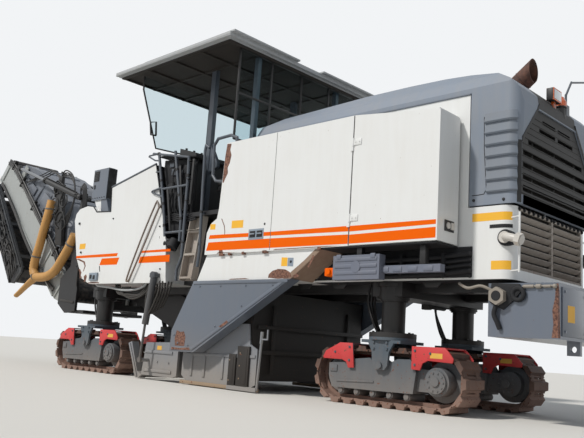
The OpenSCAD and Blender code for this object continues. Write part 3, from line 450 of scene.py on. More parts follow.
sweep([(5.035, 1.183, 2.795), (4.99, 1.183, 2.42), (5.39, 1.183, 2.445), (5.49, 1.183, 2.53)],
      0.009)
bolts([(x, 1.183, z) for x, z in ((3.6, 1.5), (3.7, 2.1), (4.9, 2.3), (5.8, 1.6))], (0, 1, 0), 0.01)
for x in (4.25, 4.75):
    bar((x, 0.75, 2.88), (x, 0.75, 3.02 - (x - 4.25) * 0.2), 0.075)
pair("tank_edge_strip_and_fillers", seam)

# SIDE SKIRT AND TOOL CASE
# Pressed panels in glossy mid-grey enamel shield the drum's ends. The tool case beside the rear
# column is a moulded polyethylene box with three ribs and a blank round boss.
enamel = sprayed("glossy mid-grey enamel", "#59626F", 0.28, "#7D7268", 0.26, 0.8, 0.74, gloss=0.5)
paint(enamel, "side_skirt_left", "side_skirt_right", "air_filter_box")
moulded = sprayed("moulded grey polyethylene", "#666C7B", 0.5, "#8A7F74", 0.25, 1.4, 0.8)
paint(moulded, "tool_case")
scoured = sprayed("dust-scoured plate paint", "#7C8087", 0.6, "#938B82", 0.4, 0.5, 0.71)
# The drum box paint is darkened to near black as painted shade under the skirt.
drum_box_paint_and_shade = sprayed("dark drum box paint and painted shade", "#121214", 0.6, "#3A322B", 0.3, 1.0, 0.7)
paint(drum_box_paint_and_shade, "drum_housing")
paint(scoured, "side_plate_left", "side_plate_right", "front_shield")
slab([(1.1, 1.285), (2.65, 0.44), (3.07, 0.43), (3.07, 0.47), (2.66, 0.48), (1.18, 1.285)], 1.2695,
     1.279, 0.003)
brick((1.06, 2.73), (1.2695, 1.281), (1.268, 1.305), 0.003)
pair("skirt_folded_edges", enamel)
for z in (1.335, 1.405, 1.475):
    brick((-0.17, 0.385), (1.265, 1.278), (z, z + 0.04), 0.008)
bar((0.1, 1.262, 1.415), (0.1, 1.281, 1.415), 0.062, sides=32)
for x in (-0.12, 0.33):
    brick((x - 0.03, x + 0.03), (1.262, 1.283), (1.5, 1.55), 0.005)
for x in (-0.8, -0.62, -0.44, -0.28):
    brick((x, x + 0.11), (1.213, 1.222), (1.36, 1.41), 0.006)
pair("tool_case_ribs", moulded)
brick((0.058, 0.122), (1.178, 1.237), (1.541, 1.638), 0.002)
brick((-0.702, -0.638), (1.138, 1.207), (1.426, 1.638), 0.002)
pair("tool_case_hangers", frame_paint_and_shade)
spots = ((1.3, 1.24), (1.75, 1.24), (2.2, 1.24), (2.6, 1.24), (2.95, 0.52), (2.74, 0.5),
         (2.25, 0.75), (1.8, 1.0), (3.04, 0.62))
bolts([(x, 1.2705, z) for x, z in spots], (0, 1, 0), 0.01)
pair("skirt_bolts", enamel)
steel = sprayed("blasted mild steel", "#6B6864", 0.5, "#97836D", 0.6, 1.6, 0.66)
films(1.2696, 0.0008,
      [(2.81, 0.485), (2.8, 0.6), (2.84, 0.67), (2.91, 0.66), (2.99, 0.68), (3.02, 0.58),
       (3.0, 0.485)])
films(1.2786, 0.001, [(2.68, 0.442), (3.06, 0.434), (3.06, 0.466), (2.9, 0.458), (2.7, 0.474)],
      [(2.0, 0.8), (2.12, 0.735), (2.17, 0.745), (2.03, 0.825)])
pair("skirt_rust", rust)
brick((0.425, 0.555), (1.13, 1.24), (1.33, 1.42), 0.012)
bar((0.49, 1.23, 1.375), (0.49, 1.262, 1.375), 0.032)
pair("drain_fittings", orange)

# SIDE PLATES AND SHIELD
# Ribbed edge guards ride on the ground beside the drum on worn skids. Two dark channels guide
# each on its lifting rod. The shield ahead of the drum has flat bars welded across its face.
for x in (1.85, 2.25, 2.6, 2.85):
    brick((x, x + 0.045), (1.07, 1.086), (0.12, 0.42))
slab([(1.7, 0.4), (3.0, 0.37), (3.0, 0.405), (1.7, 0.435)], 1.07, 1.084)
ribs = bm
for side, name in SIDES:
    bm = ribs.copy()
    bmesh.ops.scale(bm, vec=(1, side, 1), verts=bm.verts)
    add("edge_guard_ribs_" + name, scoured, "guard_" + name)
    brick((1.63, 3.08), span(side, 1.05, 1.086), (0.012, 0.055), 0.006)
    bolts([(x, side * 1.0945, z) for x in (1.84, 1.94) for z in (0.15, 0.3, 0.45)], (0, side, 0),
          0.009)
    bolts([(x, side * 1.0945, z) for x in (2.06, 2.12) for z in (0.12, 0.36)], (0, side, 0), 0.009)
    add("edge_guard_skid_" + name, steel, "guard_" + name)
    for x, z in ((1.79, 0.53), (2.02, 0.43)):
        brick((x - 0.002, x + (0.202 if x < 2 else 0.122)), span(side, 1.052, 1.0995),
              (0.058, z + 0.002), 0.003)
        brick((x + 0.03, x + 0.09), span(side, 1.099, 1.1035), (0.09, z - 0.03), 0.002)
    add("edge_guard_channels_" + name, drum_box_paint_and_shade, "guard_" + name)
    bar((1.64, side * 1.078, 0.064), (1.614, side * 1.078, 0.6), 0.0145)
    bar((1.616, side * 1.078, 0.575), (1.6107, side * 1.078, 0.712), 0.0195)
    add("edge_guard_rod_" + name, plate_grey, "guard_" + name)
ribs.free()
slab([(4.03, 0.032), (4.065, 0.032), (4.305, 0.475), (4.27, 0.475)], 1.078, 1.092)
slab([(3.28, 0.11), (3.9, 0.11), (3.86, 0.15), (3.28, 0.15)], 1.078, 1.09)
slab([(3.28, 0.36), (3.9, 0.36), (3.87, 0.4), (3.28, 0.4)], 1.078, 1.09)
bolts([(3.35, 1.078, 0.25), (3.6, 1.078, 0.25), (3.78, 1.078, 0.25)], (0, 1, 0), 0.012)
pair("shield_ribs", scoured, "shield")
brick((3.53, 3.63), (1.078, 1.0798), (0.41, 0.465), 0)
pair("shield_labels", yellow, "shield")

# MILLING DRUM
# A welded steel drum carries carbide picks in forged holders, set along a helix. Asphalt dust is
# caked on everything but the tips. Welded ribs stiffen the scraper behind it.
caked = sprayed("dust-caked forged steel", "#3E3630", 0.7, "#6E5C4B", 0.7, 3.0, 0.7)
paint(caked, "drum_body", "drum_picks")
for i in range(72):
    a = i * 2.399
    y = -0.97 + i * 1.94 / 71
    way = Vector((cos(a), 0, sin(a)))
    foot = Vector((2.45, y, 0.68)) + way * 0.372
    bar(foot, foot + way * 0.055, 0.04, 0.026, sides=8)
add("drum_pick_holders", caked, "drum")
barrel_paint = sprayed("worn cylinder paint", "#3D4248", 0.5, "#7A7068", 0.35, 1.4, 0.7)
paint(barrel_paint, "shield_cylinders")
for y in (-0.72, 0.72):
    brick((1.77, 1.79), (y - 0.03, y + 0.03), (1.05, 0.22))
for z in (0.45, 0.75):
    brick((1.745, 1.765), (-1.0, 1.0), (z, z + 0.05))
add("scraper_ribs", drum_box_paint_and_shade)

# BELTS
# Black chevron rubber, scuffed grey along the crown. The chevrons are cleats 15 mm high on the
# real belt, drawn here as a wave 120 mm apart.
belt = mottled("scuffed cleated rubber", 14.0, 7.0, "#26262A", "#5A544D", 0.4, 0.7,
               lambda mat, place: node(mat, "TexWave", {"bands_direction": "DIAGONAL"},
                                       Vector=place, Scale=2.6, Distortion=1.0).outputs[1],
               0.8, 0.008, Roughness=0.75)
paint(belt, "conveyor_lower_belt", "conveyor_upper_belt")

# PLATFORM
# Chequer plate floor between two consoles, each with a sloping panel of switches and a screen. Tube
# rails painted dark grey fence the boarding ladder. Steel cabinets, cables and hoses are clamped
# along the platform's sides.
# Raised tears 30 mm long and 2 mm high on worn zinc.
plate = mottled("galvanised chequer plate", 9.0, 6.0, "#7C7D7C", "#A39684", 0.0, 1.0,
                lambda mat, place: node(mat, "TexVoronoi", Vector=place, Scale=34.0).outputs[0],
                0.7, 0.002, Metallic=0.6, Roughness=0.5)
brick((2.37, 3.635), (-0.86, 0.86), (2.249, 2.254), 0.001)
pair("floor_plate", plate)
screen = material("dark glass display")
surface(screen, Base_Color=lin("#101418"), Roughness=0.12, Coat_Weight=0.6)
for y in (0.4, 0.66):
    slab([(3.315, 3.118), (3.525, 3.182), (3.522, 3.192), (3.312, 3.128)], y, y + 0.2, 0.003)
pair("console_displays", screen)
for y in (0.36, 0.5, 0.64, 0.78, 0.92):
    bar((3.6, y, 3.2), (3.6, y, 3.275), 0.012, 0.018)
hose([(3.42, 0.35, 3.14), (3.3, 0.35, 3.1), (3.28, 0.63, 3.09), (3.3, 0.91, 3.1),
      (3.42, 0.91, 3.14)], 0.014, 12)
brick((3.375, 3.385), (0.42, 0.88), (2.45, 3.0))
pair("console_levers", seam)
for x, z in ((3.86, 3.16), (3.74, 2.75), (3.64, 2.41), (3.57, 2.1), (3.4, 2.87), (3.3, 2.5),
             (3.21, 2.17), (3.14, 2.76), (3.13, 1.85), (2.79, 2.23), (2.77, 1.8)):
    bar((x - 0.001, 1.2, z - 0.022), (x + 0.006, 1.2, z + 0.022), 0.0235, sides=16)
hose([(3.69, 1.172, 1.96), (3.66, 1.16, 1.72), (3.6, 1.155, 1.6)], 0.01, 12)
for z in (2.4, 2.7, 2.95):
    brick((3.07, 3.12), (1.185, 1.24), (z, z + 0.012), 0.002)
brick((3.02, 3.06), (1.19, 1.215), (2.35, 2.98))
slab([(3.2, 2.3), (3.24, 2.3), (3.36, 2.92), (3.32, 2.92)], 1.192, 1.208, 0.004)
slab([(3.41, 2.02), (3.45, 2.02), (3.6, 2.62), (3.56, 2.62)], 1.192, 1.208, 0.004)
pair("rail_sockets_and_gate", frame_paint_and_shade)
sweep([(3.71, 1.2, 2.655), (3.93, 1.2, 2.625), (3.95, 1.2, 2.612), (3.93, 1.2, 2.6),
       (3.67, 1.2, 2.515)], 0.013, 10)
sweep([(3.86, 1.2, 3.163), (4.09, 1.2, 3.166), (4.105, 1.2, 3.155), (3.94, 1.2, 3.075),
       (3.835, 1.2, 3.06)], 0.012, 10)
pair("rail_grab_loops", rail_paint)

slab([(3.13, 2.262), (3.62, 2.262), (3.85, 2.94), (3.85, 3.09), (3.13, 3.02)], 1.04, 1.1, 0.015)
slab([(3.17, 2.3), (3.36, 2.3), (3.42, 2.72), (3.22, 2.76)], 1.09, 1.135, 0.015)
slab([(3.44, 2.3), (3.6, 2.3), (3.74, 2.7), (3.56, 2.74)], 1.09, 1.125, 0.012)
slab([(3.05, 3.02), (3.86, 3.11), (3.86, 3.14), (3.05, 3.05)], 0.98, 1.17, 0.008)
slab([(3.16, 2.8), (3.3, 2.82), (3.3, 2.94), (3.16, 2.93)], 1.09, 1.165, 0.012)
# A dark sheet over the hull's rear wall: partly the dark cables there, partly painted shade on the
# wall, which faces away from the sun.
slab([(3.935, 3.005), (3.535, 1.925), (3.525, 1.93), (3.925, 3.012)], -1.172, 1.172, 0)
slab([(3.15, 1.99), (3.52, 1.99), (3.54, 2.24), (3.15, 2.24)], 1.0, 1.13, 0.015)
bar((3.42, 1.1, 1.9), (3.42, 1.16, 1.78), 0.075)
bar((3.47, 1.13, 1.84), (3.58, 1.15, 1.86), 0.045)
for k in range(7):
    x, s = 3.1 + 0.075 * k, sin(k * 2.1)
    hose([(x, 1.05, 3.04), (x + 0.04 * s, 1.15, 2.86), (x - 0.03, 1.16 + 0.01 * s, 2.64),
          (x + 0.05 * s, 1.155, 2.4), (x, 1.1, 2.24)], 0.011 + 0.003 * (k % 3))
for k in range(4):
    z = 2.16 + 0.028 * k
    hose([(2.98, 1.13, z), (3.2, 1.165, z - 0.03), (3.42, 1.16, z + 0.01), (3.63, 1.14, z - 0.02)],
         0.012)
pair("platform_cabinets_cables_and_painted_shade", seam)
slab([(3.36, 2.8), (3.63, 2.84), (3.63, 2.93), (3.36, 2.88)], 1.1, 1.125, 0.006)
brick((3.22, 3.3), (1.132, 1.142), (2.52, 2.6))
brick((3.6, 3.7), (1.1, 1.112), (2.96, 3.02))
pair("platform_cabinet_plates", rail_paint)

# OPERATOR SEATS
# Two suspension seats in black vinyl over foam, with piped seams, on painted steel boxes. The pads
# are crowned, pulled in at the seams and settled by use.
# Leather grain is 1 mm on the real seat, drawn at 4 mm so that it shows.
vinyl = mottled("grained black vinyl", 12.0, 4.0, "#1D1D1F", "#3C3B3A", 0.0, 1.0,
                lambda mat, place: node(mat, "TexVoronoi", Vector=place, Scale=240.0).outputs[0],
                0.4, 0.0008, Roughness=0.5)


def pad(name, low, high, lean):
    # A stuffed pad: a subdivided block with crowned faces, waisted sides and two sewn channels.
    bmesh.ops.create_cube(bm, size=2)
    bmesh.ops.subdivide_edges(bm, edges=bm.edges[:], cuts=7, use_grid_fill=True)
    low, high = Vector(low), Vector(high)
    for v in bm.verts:
        x, y, z = v.co
        crown = (1 - x * x) * (1 - y * y)
        if abs(z) > 0.99:
            v.co.z *= 0.74 + 0.26 * crown ** 0.5 - (0.1 if abs(abs(x) - 0.25) < 0.01 else 0)
        v.co.x *= 1 - 0.05 * (y * y) - 0.03 * abs(z)
        v.co.y *= 1 - 0.05 * (x * x) - 0.03 * abs(z)
    half = (high - low) / 2
    for v in bm.verts:
        v.co = Vector((v.co.x * half.x, v.co.y * half.y, v.co.z * half.z))
    turn = Matrix.Rotation(radians(lean), 4, "Y")
    middle = (low + high) / 2 + Vector((SHIFT, 0, 0))
    bmesh.ops.transform(bm, matrix=Matrix.Translation(middle) @ turn, verts=bm.verts)
    made = add(name, vinyl, angle=60)
    soft = made.modifiers.new("round", "SUBSURF")
    soft.levels = soft.render_levels = 1
    return made


for side, name in SIDES:
    y = span(side, 0.385, 0.855)
    pad("seat_pad_" + name, (2.49, y[0], 2.668), (2.975, y[1], 2.775), 0)
    pad("seat_back_" + name, (2.2, y[0] + 0.015, 2.965), (2.71, y[1] - 0.015, 3.06), 96.5)
brick((2.66, 2.8), (0.54, 0.7), (2.2505, 2.6), 0.008)
slab([(2.5, 2.6), (2.96, 2.6), (2.93, 2.672), (2.53, 2.672)], 0.41, 0.83, 0.008)
brick((2.455, 2.475), (0.46, 0.78), (2.66, 3.05), 0.005)
brick((2.455, 2.6), (0.46, 0.5), (2.64, 2.67))
base = pair("seat_bases", frame_paint_and_shade)
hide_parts("seats")

# CANOPY
# A light-grey moulded roof skin over a dark frame with ribs, held up by raked box posts. Tinted
# screens in dark frames close its ends.
roof_skin = sprayed("weathered grey gel coat", "#A9ACAE", 0.45, "#8E8371", 0.35, 0.5, 0.8)
paint(roof_skin, "canopy_roof")
# The lining is darkened as painted shade under the roof.
lining_and_shade = sprayed("dark canopy lining and painted shade", "#1D1916", 0.8, "#4A3E34", 0.4, 0.5, 0.76)
for y in (-1.42, -0.85, -0.28, 0.28, 0.85, 1.42):
    brick((2.23, 4.67), (y - 0.022, y + 0.022), (4.385, 4.412))
for x in (2.24, 2.83, 3.42, 4.01, 4.62):
    brick((x - 0.02, x + 0.02), (-1.43, 1.43), (4.378, 4.412))
brick((2.215, 4.685), (-1.435, 1.435), (4.403, 4.411), 0.002)
add("canopy_lining", lining_and_shade)
brick((3.1, 3.6), (-0.45, 0.45), (4.479, 4.4955), 0.01)
for x in (2.149, 4.735):
    brick((x, x + 0.016), (-1.49, 1.49), (4.434, 4.474))
brick((2.16, 4.74), (1.488, 1.503), (4.44, 4.476))
brick((2.16, 4.74), (-1.503, -1.488), (4.44, 4.476))
add("canopy_edge_trim", roof_skin)
glass = material("tinted safety glass")
surface(glass, Base_Color=lin("#D6E4E8"), Roughness=0.02, Transmission_Weight=1.0, IOR=1.05)
paint(glass, "windscreens")
for y in (0.005, 0.592, 1.182):
    brick((2.276, 2.298), (y - 0.014, y + 0.014), (3.15, 4.408), 0.003)
for z in (3.158, 3.78, 4.395):
    brick((2.276, 2.298), (0.0, 1.19), (z - 0.014, z + 0.014), 0.003)
sweep([(4.307, 0.012, 3.42), (4.307, 0.96, 3.37), (4.307, 1.28, 4.2), (4.307, 1.28, 4.4)], 0.013)
brick((4.296, 4.318), (-0.001, 0.012), (3.42, 4.408), 0.003)
sweep([(4.3, 0.985, 3.565), (4.3, 1.075, 3.55), (4.3, 1.105, 3.74), (4.3, 1.005, 3.77),
       (4.3, 0.985, 3.565)], 0.015, 8)
pair("screen_frames", frame_paint_and_shade)

# ENGINE HOOD
# One moulded cover in mid-grey glass-fibre, hinged at its front. Its rear corners carry seven
# wrapped ribs, and the rear opening has a dark slatted grille.
hood_grey = sprayed("moulded grey glass-fibre", "#7A8492", 0.52, "#A79A88", 0.3, 1.0, 0.765)
paint(hood_grey, "engine_hood")
slats = sprayed("dark grille steel", "#111214", 0.6, "#3B352F", 0.3, 2.0, 0.74)
paint(slats, "hood_grille")


def wrap(starts, middle, angles, low, high, foot, lip):
    # Strip led along the side and round a rear corner of 120 mm radius. It stands out by "foot"
    # along its lower edge and by "lip" along its upper one.
    plan = [(x, 0.87, 0.0) for x in starts]
    plan += [(middle - 0.12 * sin(a), 0.75 + 0.12 * cos(a), a) for a in angles]
    rings = []
    for x, y, a in plan:
        spot, out = Vector((x + SHIFT, y, 0)), Vector((-sin(a), cos(a), 0))
        rings.append([bm.verts.new(spot + out * far + Vector((0, 0, z)))
                      for far, z in ((-0.003, low), (foot, low), (lip, high), (-0.003, high))])
    for one, two in zip(rings, rings[1:]):
        for k in range(4):
            bm.faces.new((one[k], one[k - 3], two[k - 3], two[k]))
    bm.faces.new(rings[0])
    bm.faces.new(rings[-1])


turned = [0.0, 0.16, 0.32, 0.48, 0.64, 0.8]
for i in range(7):
    z = 2.15 + i * 0.118
    wrap([-1.13 - 0.005 * (6 - i), -1.37], -1.37, turned, z, z + 0.016, 0.016, 0.024)
    wrap([-1.13 - 0.005 * (6 - i), -1.37], -1.37, turned, z + 0.0161, z + 0.112, 0.024, -0.002)
sweep([(-0.965, 0.873, 3.2), (0.5, 0.873, 3.207), (2.18, 0.873, 3.207)], 0.011)
# The ribs are a darker grey than the hood as painted shade of the recessed corner.
rib_grey_and_shade = sprayed("glass-fibre ribs and painted shade", "#666F7B", 0.6, "#8F8677", 0.28, 1.0, 0.765)
pair("hood_corner_ribs", rib_grey_and_shade, "hood")
for z0, z1 in ((2.045, 2.36), (2.36, 2.66)):
    wrap([], -1.37, [0.82, 0.95, 1.08, 1.2], z0, z1, 0.002, 0.002)
# The dark bar across the rear below the grille is painted shade on the moulding's lower strip.
slab([(-0.75, 2.037), (0.75, 2.037), (0.75, 2.124), (-0.75, 2.124)], -1.4925, -1.46, 0, "X")
brick((-1.452, -1.44), (-0.78, 0.78), (2.126, 2.17), 0.002)
slab([(0.45, 3.062), (0.75, 2.69), (0.79, 2.645), (0.79, 2.7), (0.43, 3.13)], -1.4925, -1.47, 0,
     "X")
slab([(-1.4895, 3.062), (-1.4725, 3.199), (-1.3815, 3.303), (-1.38, 3.299), (-1.469, 3.195),
      (-1.486, 3.06)], 0.0, 0.44, 0)
sweep([(-1.118, 0.87, 2.93), (-1.125, 0.87, 2.6), (-1.155, 0.87, 2.19), (-1.13, 0.87, 2.145),
       (-1.06, 0.87, 2.14), (-1.0, 0.87, 2.14)], 0.004, 6)
bolts([(-1.02, 0.87, 2.09), (-1.34, 0.87, 2.075)], (0, 1, 0), 0.012)
pair("grille_surround_and_painted_shade", slats, "hood")
for i in range(14):
    z = 2.15 + i * 0.062
    wide = 0.775 if z < 2.62 else 0.775 - (z - 2.62) * 0.8
    slab([(-1.478, z), (-1.447, z + 0.028), (-1.441, z + 0.022), (-1.472, z - 0.008)], -wide, wide,
         0.002)
for y in (-0.5, 0.0, 0.5):
    brick((-1.446, -1.438), (y - 0.012, y + 0.012), (2.14, 3.04), 0.002)
add("grille_slats", slats, "hood")
core = material("shadowed radiator core")
place = node(core, "TexCoord").outputs["Object"]
# Fins 12 mm apart on the real core, drawn at 25 mm.
fins = node(core, "TexWave", {"bands_direction": "Y"}, Vector=place, Scale=12.0).outputs[1]
shade = node(core, "Mix", {"data_type": "RGBA"}, Factor=fins, _6=lin("#0E0D0D"), _7=lin("#2A2724"))
surface(core, Base_Color=shade.outputs[2], Roughness=0.8)
brick((-1.4, -1.38), (-0.8, 0.8), (2.08, 3.1))
add("radiator_core", core, "hood")
brick((-1.38, -1.37), (-0.72, 0.72), (1.42, 2.02), 0.002)
add("lower_core", core)

# EXHAUST AND REAR LAMPS
# A wide mild-steel outlet pipe, burnt to rust and cut off upright. Beside it stand an amber
# rotating beacon, a work lamp and a mirror on a bent tube.
# Heat scale in soft patches 60 mm across on top of fine rust.
burnt = mottled("burnt rusty pipe", 16.0, 8.0, "#2E1E19", "#6E4838", 0.3, 0.75, None, 0.3, 0.001,
                Roughness=0.75)
paint(burnt, "exhaust_pipe")
amber = material("amber acrylic")
surface(amber, Base_Color=lin("#E8661C"), Roughness=0.18, Transmission_Weight=0.3, Coat_Weight=0.4)
paint(amber, "rear_lamps")
bar((-1.425, -0.19, 3.145), (-1.425, -0.19, 3.284), 0.0572, sides=28)
bar((-1.425, -0.19, 3.27), (-1.425, -0.19, 3.286), 0.0705, sides=28)
brick((-1.496, -1.416), (-0.064, 0.134), (3.266, 3.404), 0.012)
bar((-1.455, 0.035, 3.15), (-1.455, 0.035, 3.275), 0.018)
add("lamp_housings", frame_paint_and_shade, "hood")
lens = material("ribbed clear lens")
surface(lens, Base_Color=lin("#DDE3E6"), Roughness=0.1, Coat_Weight=0.5)
brick((-1.5045, -1.494), (-0.045, 0.115), (3.285, 3.385), 0.003)
brick((-1.4935, -1.489), (-0.972, -0.808), (3.388, 3.672), 0.002)
add("lamp_lens_and_mirror_glass", lens, "hood")
for k in range(3):
    spot = Vector((-0.86 - 0.09 * k, -0.1, 3.502 + 0.0675 * k))
    way = Vector((-0.8, 0, 0.6))
    bar(spot, spot + way * 0.012, 0.1135, sides=32)
add("exhaust_clamps", burnt, "hood")

# LOUVRE AND STEPS
# The louvre's boards and the folding steps are white under a thick coat of beige road dust. The
# treads are zinc-coated chequer plate.
dusty_white = sprayed("dust-coated white paint", "#B4AEA6", 0.6, "#85756A", 0.75, 2.3, 0.7)
paint(dusty_white, "rear_louvre", "steps")
for z in (1.356, 1.668, 1.98):
    brick((2.842, 3.067), (1.1 if z > 1.9 else 1.14, 1.2), (z + 0.02, z + 0.026), 0.001)
pair("step_treads", plate)

# REAR HULL CORNER
# The hull's rear end carries blank yellow labels, a vent slot, a light alloy pipe elbow on a black
# rubber flange, and a white steel pole that stands beside the corner.
wrap([-1.01, -1.31], -1.31, [0.2, 0.45, 0.7, 0.95], 1.875, 1.955, 0.001, 0.001)
wrap([-1.22, -1.31], -1.31, [0.2, 0.45, 0.7, 0.9], 1.4, 1.485, 0.001, 0.001)
pair("hull_corner_labels", yellow)
wrap([-1.2, -1.31], -1.31, [0.2, 0.45, 0.7, 0.98], 1.8, 1.835, 0.003, 0.003)
bolts([(-1.431, 0.03 + 0.1 * k, 2.0) for k in range(8)], (-1, 0, 0), 0.016)
bar((-1.37, 0.8, 1.7), (-1.37, 0.892, 1.7), 0.078, sides=28)
pair("corner_vent_and_flange", seam)
hose([(-1.37, 0.86, 1.7), (-1.4, 0.935, 1.7), (-1.46, 0.965, 1.685), (-1.53, 0.97, 1.665)], 0.038,
     20)
bar((-1.525, 0.97, 1.667), (-1.575, 0.97, 1.652), 0.062, sides=6)
bar((-1.575, 0.97, 1.652), (-1.585, 0.97, 1.649), 0.045, sides=16)
bar((-1.37, 0.89, 1.7), (-1.37, 0.915, 1.7), 0.056, sides=28)
pair("corner_elbow", cast_alloy)
bar((-1.505, 0.865, 1.37), (-1.505, 0.865, 1.94), 0.01)
for z in (1.39, 1.9):
    sweep([(-1.505, 0.865, z), (-1.4, 0.82, z)], 0.008, 8)
pair("corner_pole", white_paint)

# COUNTERWEIGHT
# A cast and fabricated steel ballast box behind the rear tracks, in the grey enamel. Blank plates
# are bolted on its back, and its rear corner has rusted from the edge inwards.
ballast_grey = sprayed("ballast grey enamel", "#616976", 0.3, "#7D7268", 0.26, 0.8, 0.74,
                       gloss=0.45)
paint(ballast_grey, "rear_counterweight")
slab([(-0.8, 0.8), (-0.22, 0.8), (-0.22, 1.24), (-0.8, 1.24)], -1.892, -1.879, 0.006, "X")
pair("counterweight_plates", ballast_grey)
bolts([(-1.892, y, z) for y in (0.26, 0.76) for z in (0.84, 1.2)], (-1, 0, 0), 0.013)
pair("counterweight_bolts", ballast_grey)
slab([(-0.7, 0.93), (-0.55, 0.93), (-0.55, 1.08), (-0.7, 1.08)], -1.8935, -1.8915, 0, "X")
pair("counterweight_labels", yellow)
slab([(-1.879, 0.78), (-1.82, 0.78), (-1.835, 0.9), (-1.825, 1.02), (-1.85, 1.13), (-1.858, 1.26),
      (-1.879, 1.26)], 0.8685, 0.8705, 0)
slab([(0.83, 0.78), (0.868, 0.78), (0.868, 1.26), (0.85, 1.2), (0.845, 1.0)], -1.8812, -1.8795, 0,
     "X")
pair("counterweight_rust", rust)

# REAR CORNER FITTINGS
# A forged coupling with a hexagon collar hangs at the front of the counterweight, beside a dark
# lug with an eye. A jointed link runs back from it along the top edge.
bar((-1.32, 0.86, 1.145), (-1.32, 0.955, 1.145), 0.085, sides=6)
for x, r, far in ((-1.56, 0.016, 0.1), (-1.68, 0.021, 0.05), (-1.75, 0.014, 0.07),
                  (-1.84, 0.02, 0.03)):
    bar((x, 0.885, 1.235), (x - far, 0.885, 1.236), r, sides=12)
bar((-1.55, 0.885, 1.235), (-1.875, 0.885, 1.24), 0.009)
hose([(-1.25, 0.9, 1.2), (-1.15, 0.93, 1.24), (-1.02, 0.94, 1.22), (-0.9, 0.9, 1.27)], 0.014, 10)
forged = sprayed("dusty forged steel", "#8F8981", 0.5, "#8A7C6C", 0.4, 1.6, 0.7)
pair("coupling_and_link", forged)
slab([(-1.22, 1.09), (-1.24, 1.27), (-1.52, 1.26), (-1.55, 1.2), (-1.46, 1.1), (-1.36, 1.02)],
     0.869, 0.895, 0.006)
ring = [(-1.51 + 0.055 * cos(k * pi / 8), 0.892, 1.165 + 0.055 * sin(k * pi / 8))
        for k in range(17)]
sweep(ring, 0.022, 10)
bar((-1.32, 0.954, 1.145), (-1.32, 0.957, 1.145), 0.048)
# The dark strand hanging down the counterweight's side is a painted shadow of the coupling above.
hose([(-1.3, 0.9, 1.07), (-1.28, 0.91, 0.98), (-1.31, 0.9, 0.9), (-1.33, 0.885, 0.84)], 0.022, 10)
pair("towing_lug_and_painted_shadow", seam)

# STEERING LINKS
# A hydraulic cylinder turns each rear column, and hoses run down to the drive motors.
for x in (0.0, 5.6):
    bar((x + 0.24, 0.3, 1.16), (x + 0.24, 0.66, 1.16), 0.045)
    bar((x + 0.24, 0.64, 1.16), (x + 0.17, 0.78, 1.16), 0.022)
    brick((x + 0.19, x + 0.29), (0.24, 0.32), (1.1, 1.32), 0.008)
    for k in range(3):
        y = 0.6 + 0.03 * k
        hose([(x + 0.3 + 0.03 * k, y, 1.32), (x + 0.33 + 0.02 * k, y + 0.02, 1.1),
              (x + 0.28, y + 0.03, 0.88), (x + 0.2, y + 0.02, 0.74)], 0.014)
pair("steering_cylinders", frame_paint_and_shade)

# TRACKS
# Each track is a cast steel side frame with a drive hub, an idler and five rollers, under a saddle
# pinned to its lifting column. Red plate guards cover the chain's two ends.
track_paint = sprayed("dusty track frame paint", "#45525D", 0.62, "#96887B", 0.28, 0.6, 0.66)
chain_steel = sprayed("rust-brown track shoes", "#45312A", 0.7, "#997C6E", 0.42, 0.5, 0.62)
red = sprayed("red enamel", "#C9262D", 0.5, "#A3655A", 0.16, 1.0, 0.665, gloss=0.05)
tracks = (("fl", 5.6, 0.801), ("fr", 5.6, -0.801), ("rl", 0.0, 0.711), ("rr", 0.0, -0.711))
guard_rear = [(-0.381, 0.6435), (-0.762, 0.6435), (-0.802, 0.611), (-0.862, 0.541),
              (-0.852, 0.4985), (-0.571, 0.5085), (-0.512, 0.479), (-0.483, 0.409), (-0.381, 0.414)]
guard_front = [(0.381, 0.6435), (0.561, 0.6435), (0.622, 0.611), (0.752, 0.551), (0.792, 0.481),
               (0.782, 0.4635), (0.521, 0.4635), (0.461, 0.439), (0.431, 0.379), (0.354, 0.384)]
HUB_X, HUB_Z, COLUMN_Y = -0.685, 0.31, 0.711
# How far out from the track's middle the heads sit, their size, and where they are.
heads = ((0.196, 0.011,
          [(-0.42, 0.46), (-0.42, 0.6), (-0.6, 0.58), (0.42, 0.46), (0.42, 0.6), (0.62, 0.54)]),
         (0.2135, 0.014, [(a, b) for a in (-0.085, 0.085) for b in (0.6, 0.665)]),
         (0.2255, 0.009,
          [(HUB_X + 0.088 * cos(k * pi / 5), HUB_Z + 0.088 * sin(k * pi / 5)) for k in range(10)]))


def circle(x, y, z, radius):
    return [(x + radius * cos(k * pi / 4), y + radius * sin(k * pi / 4), z) for k in range(8)]


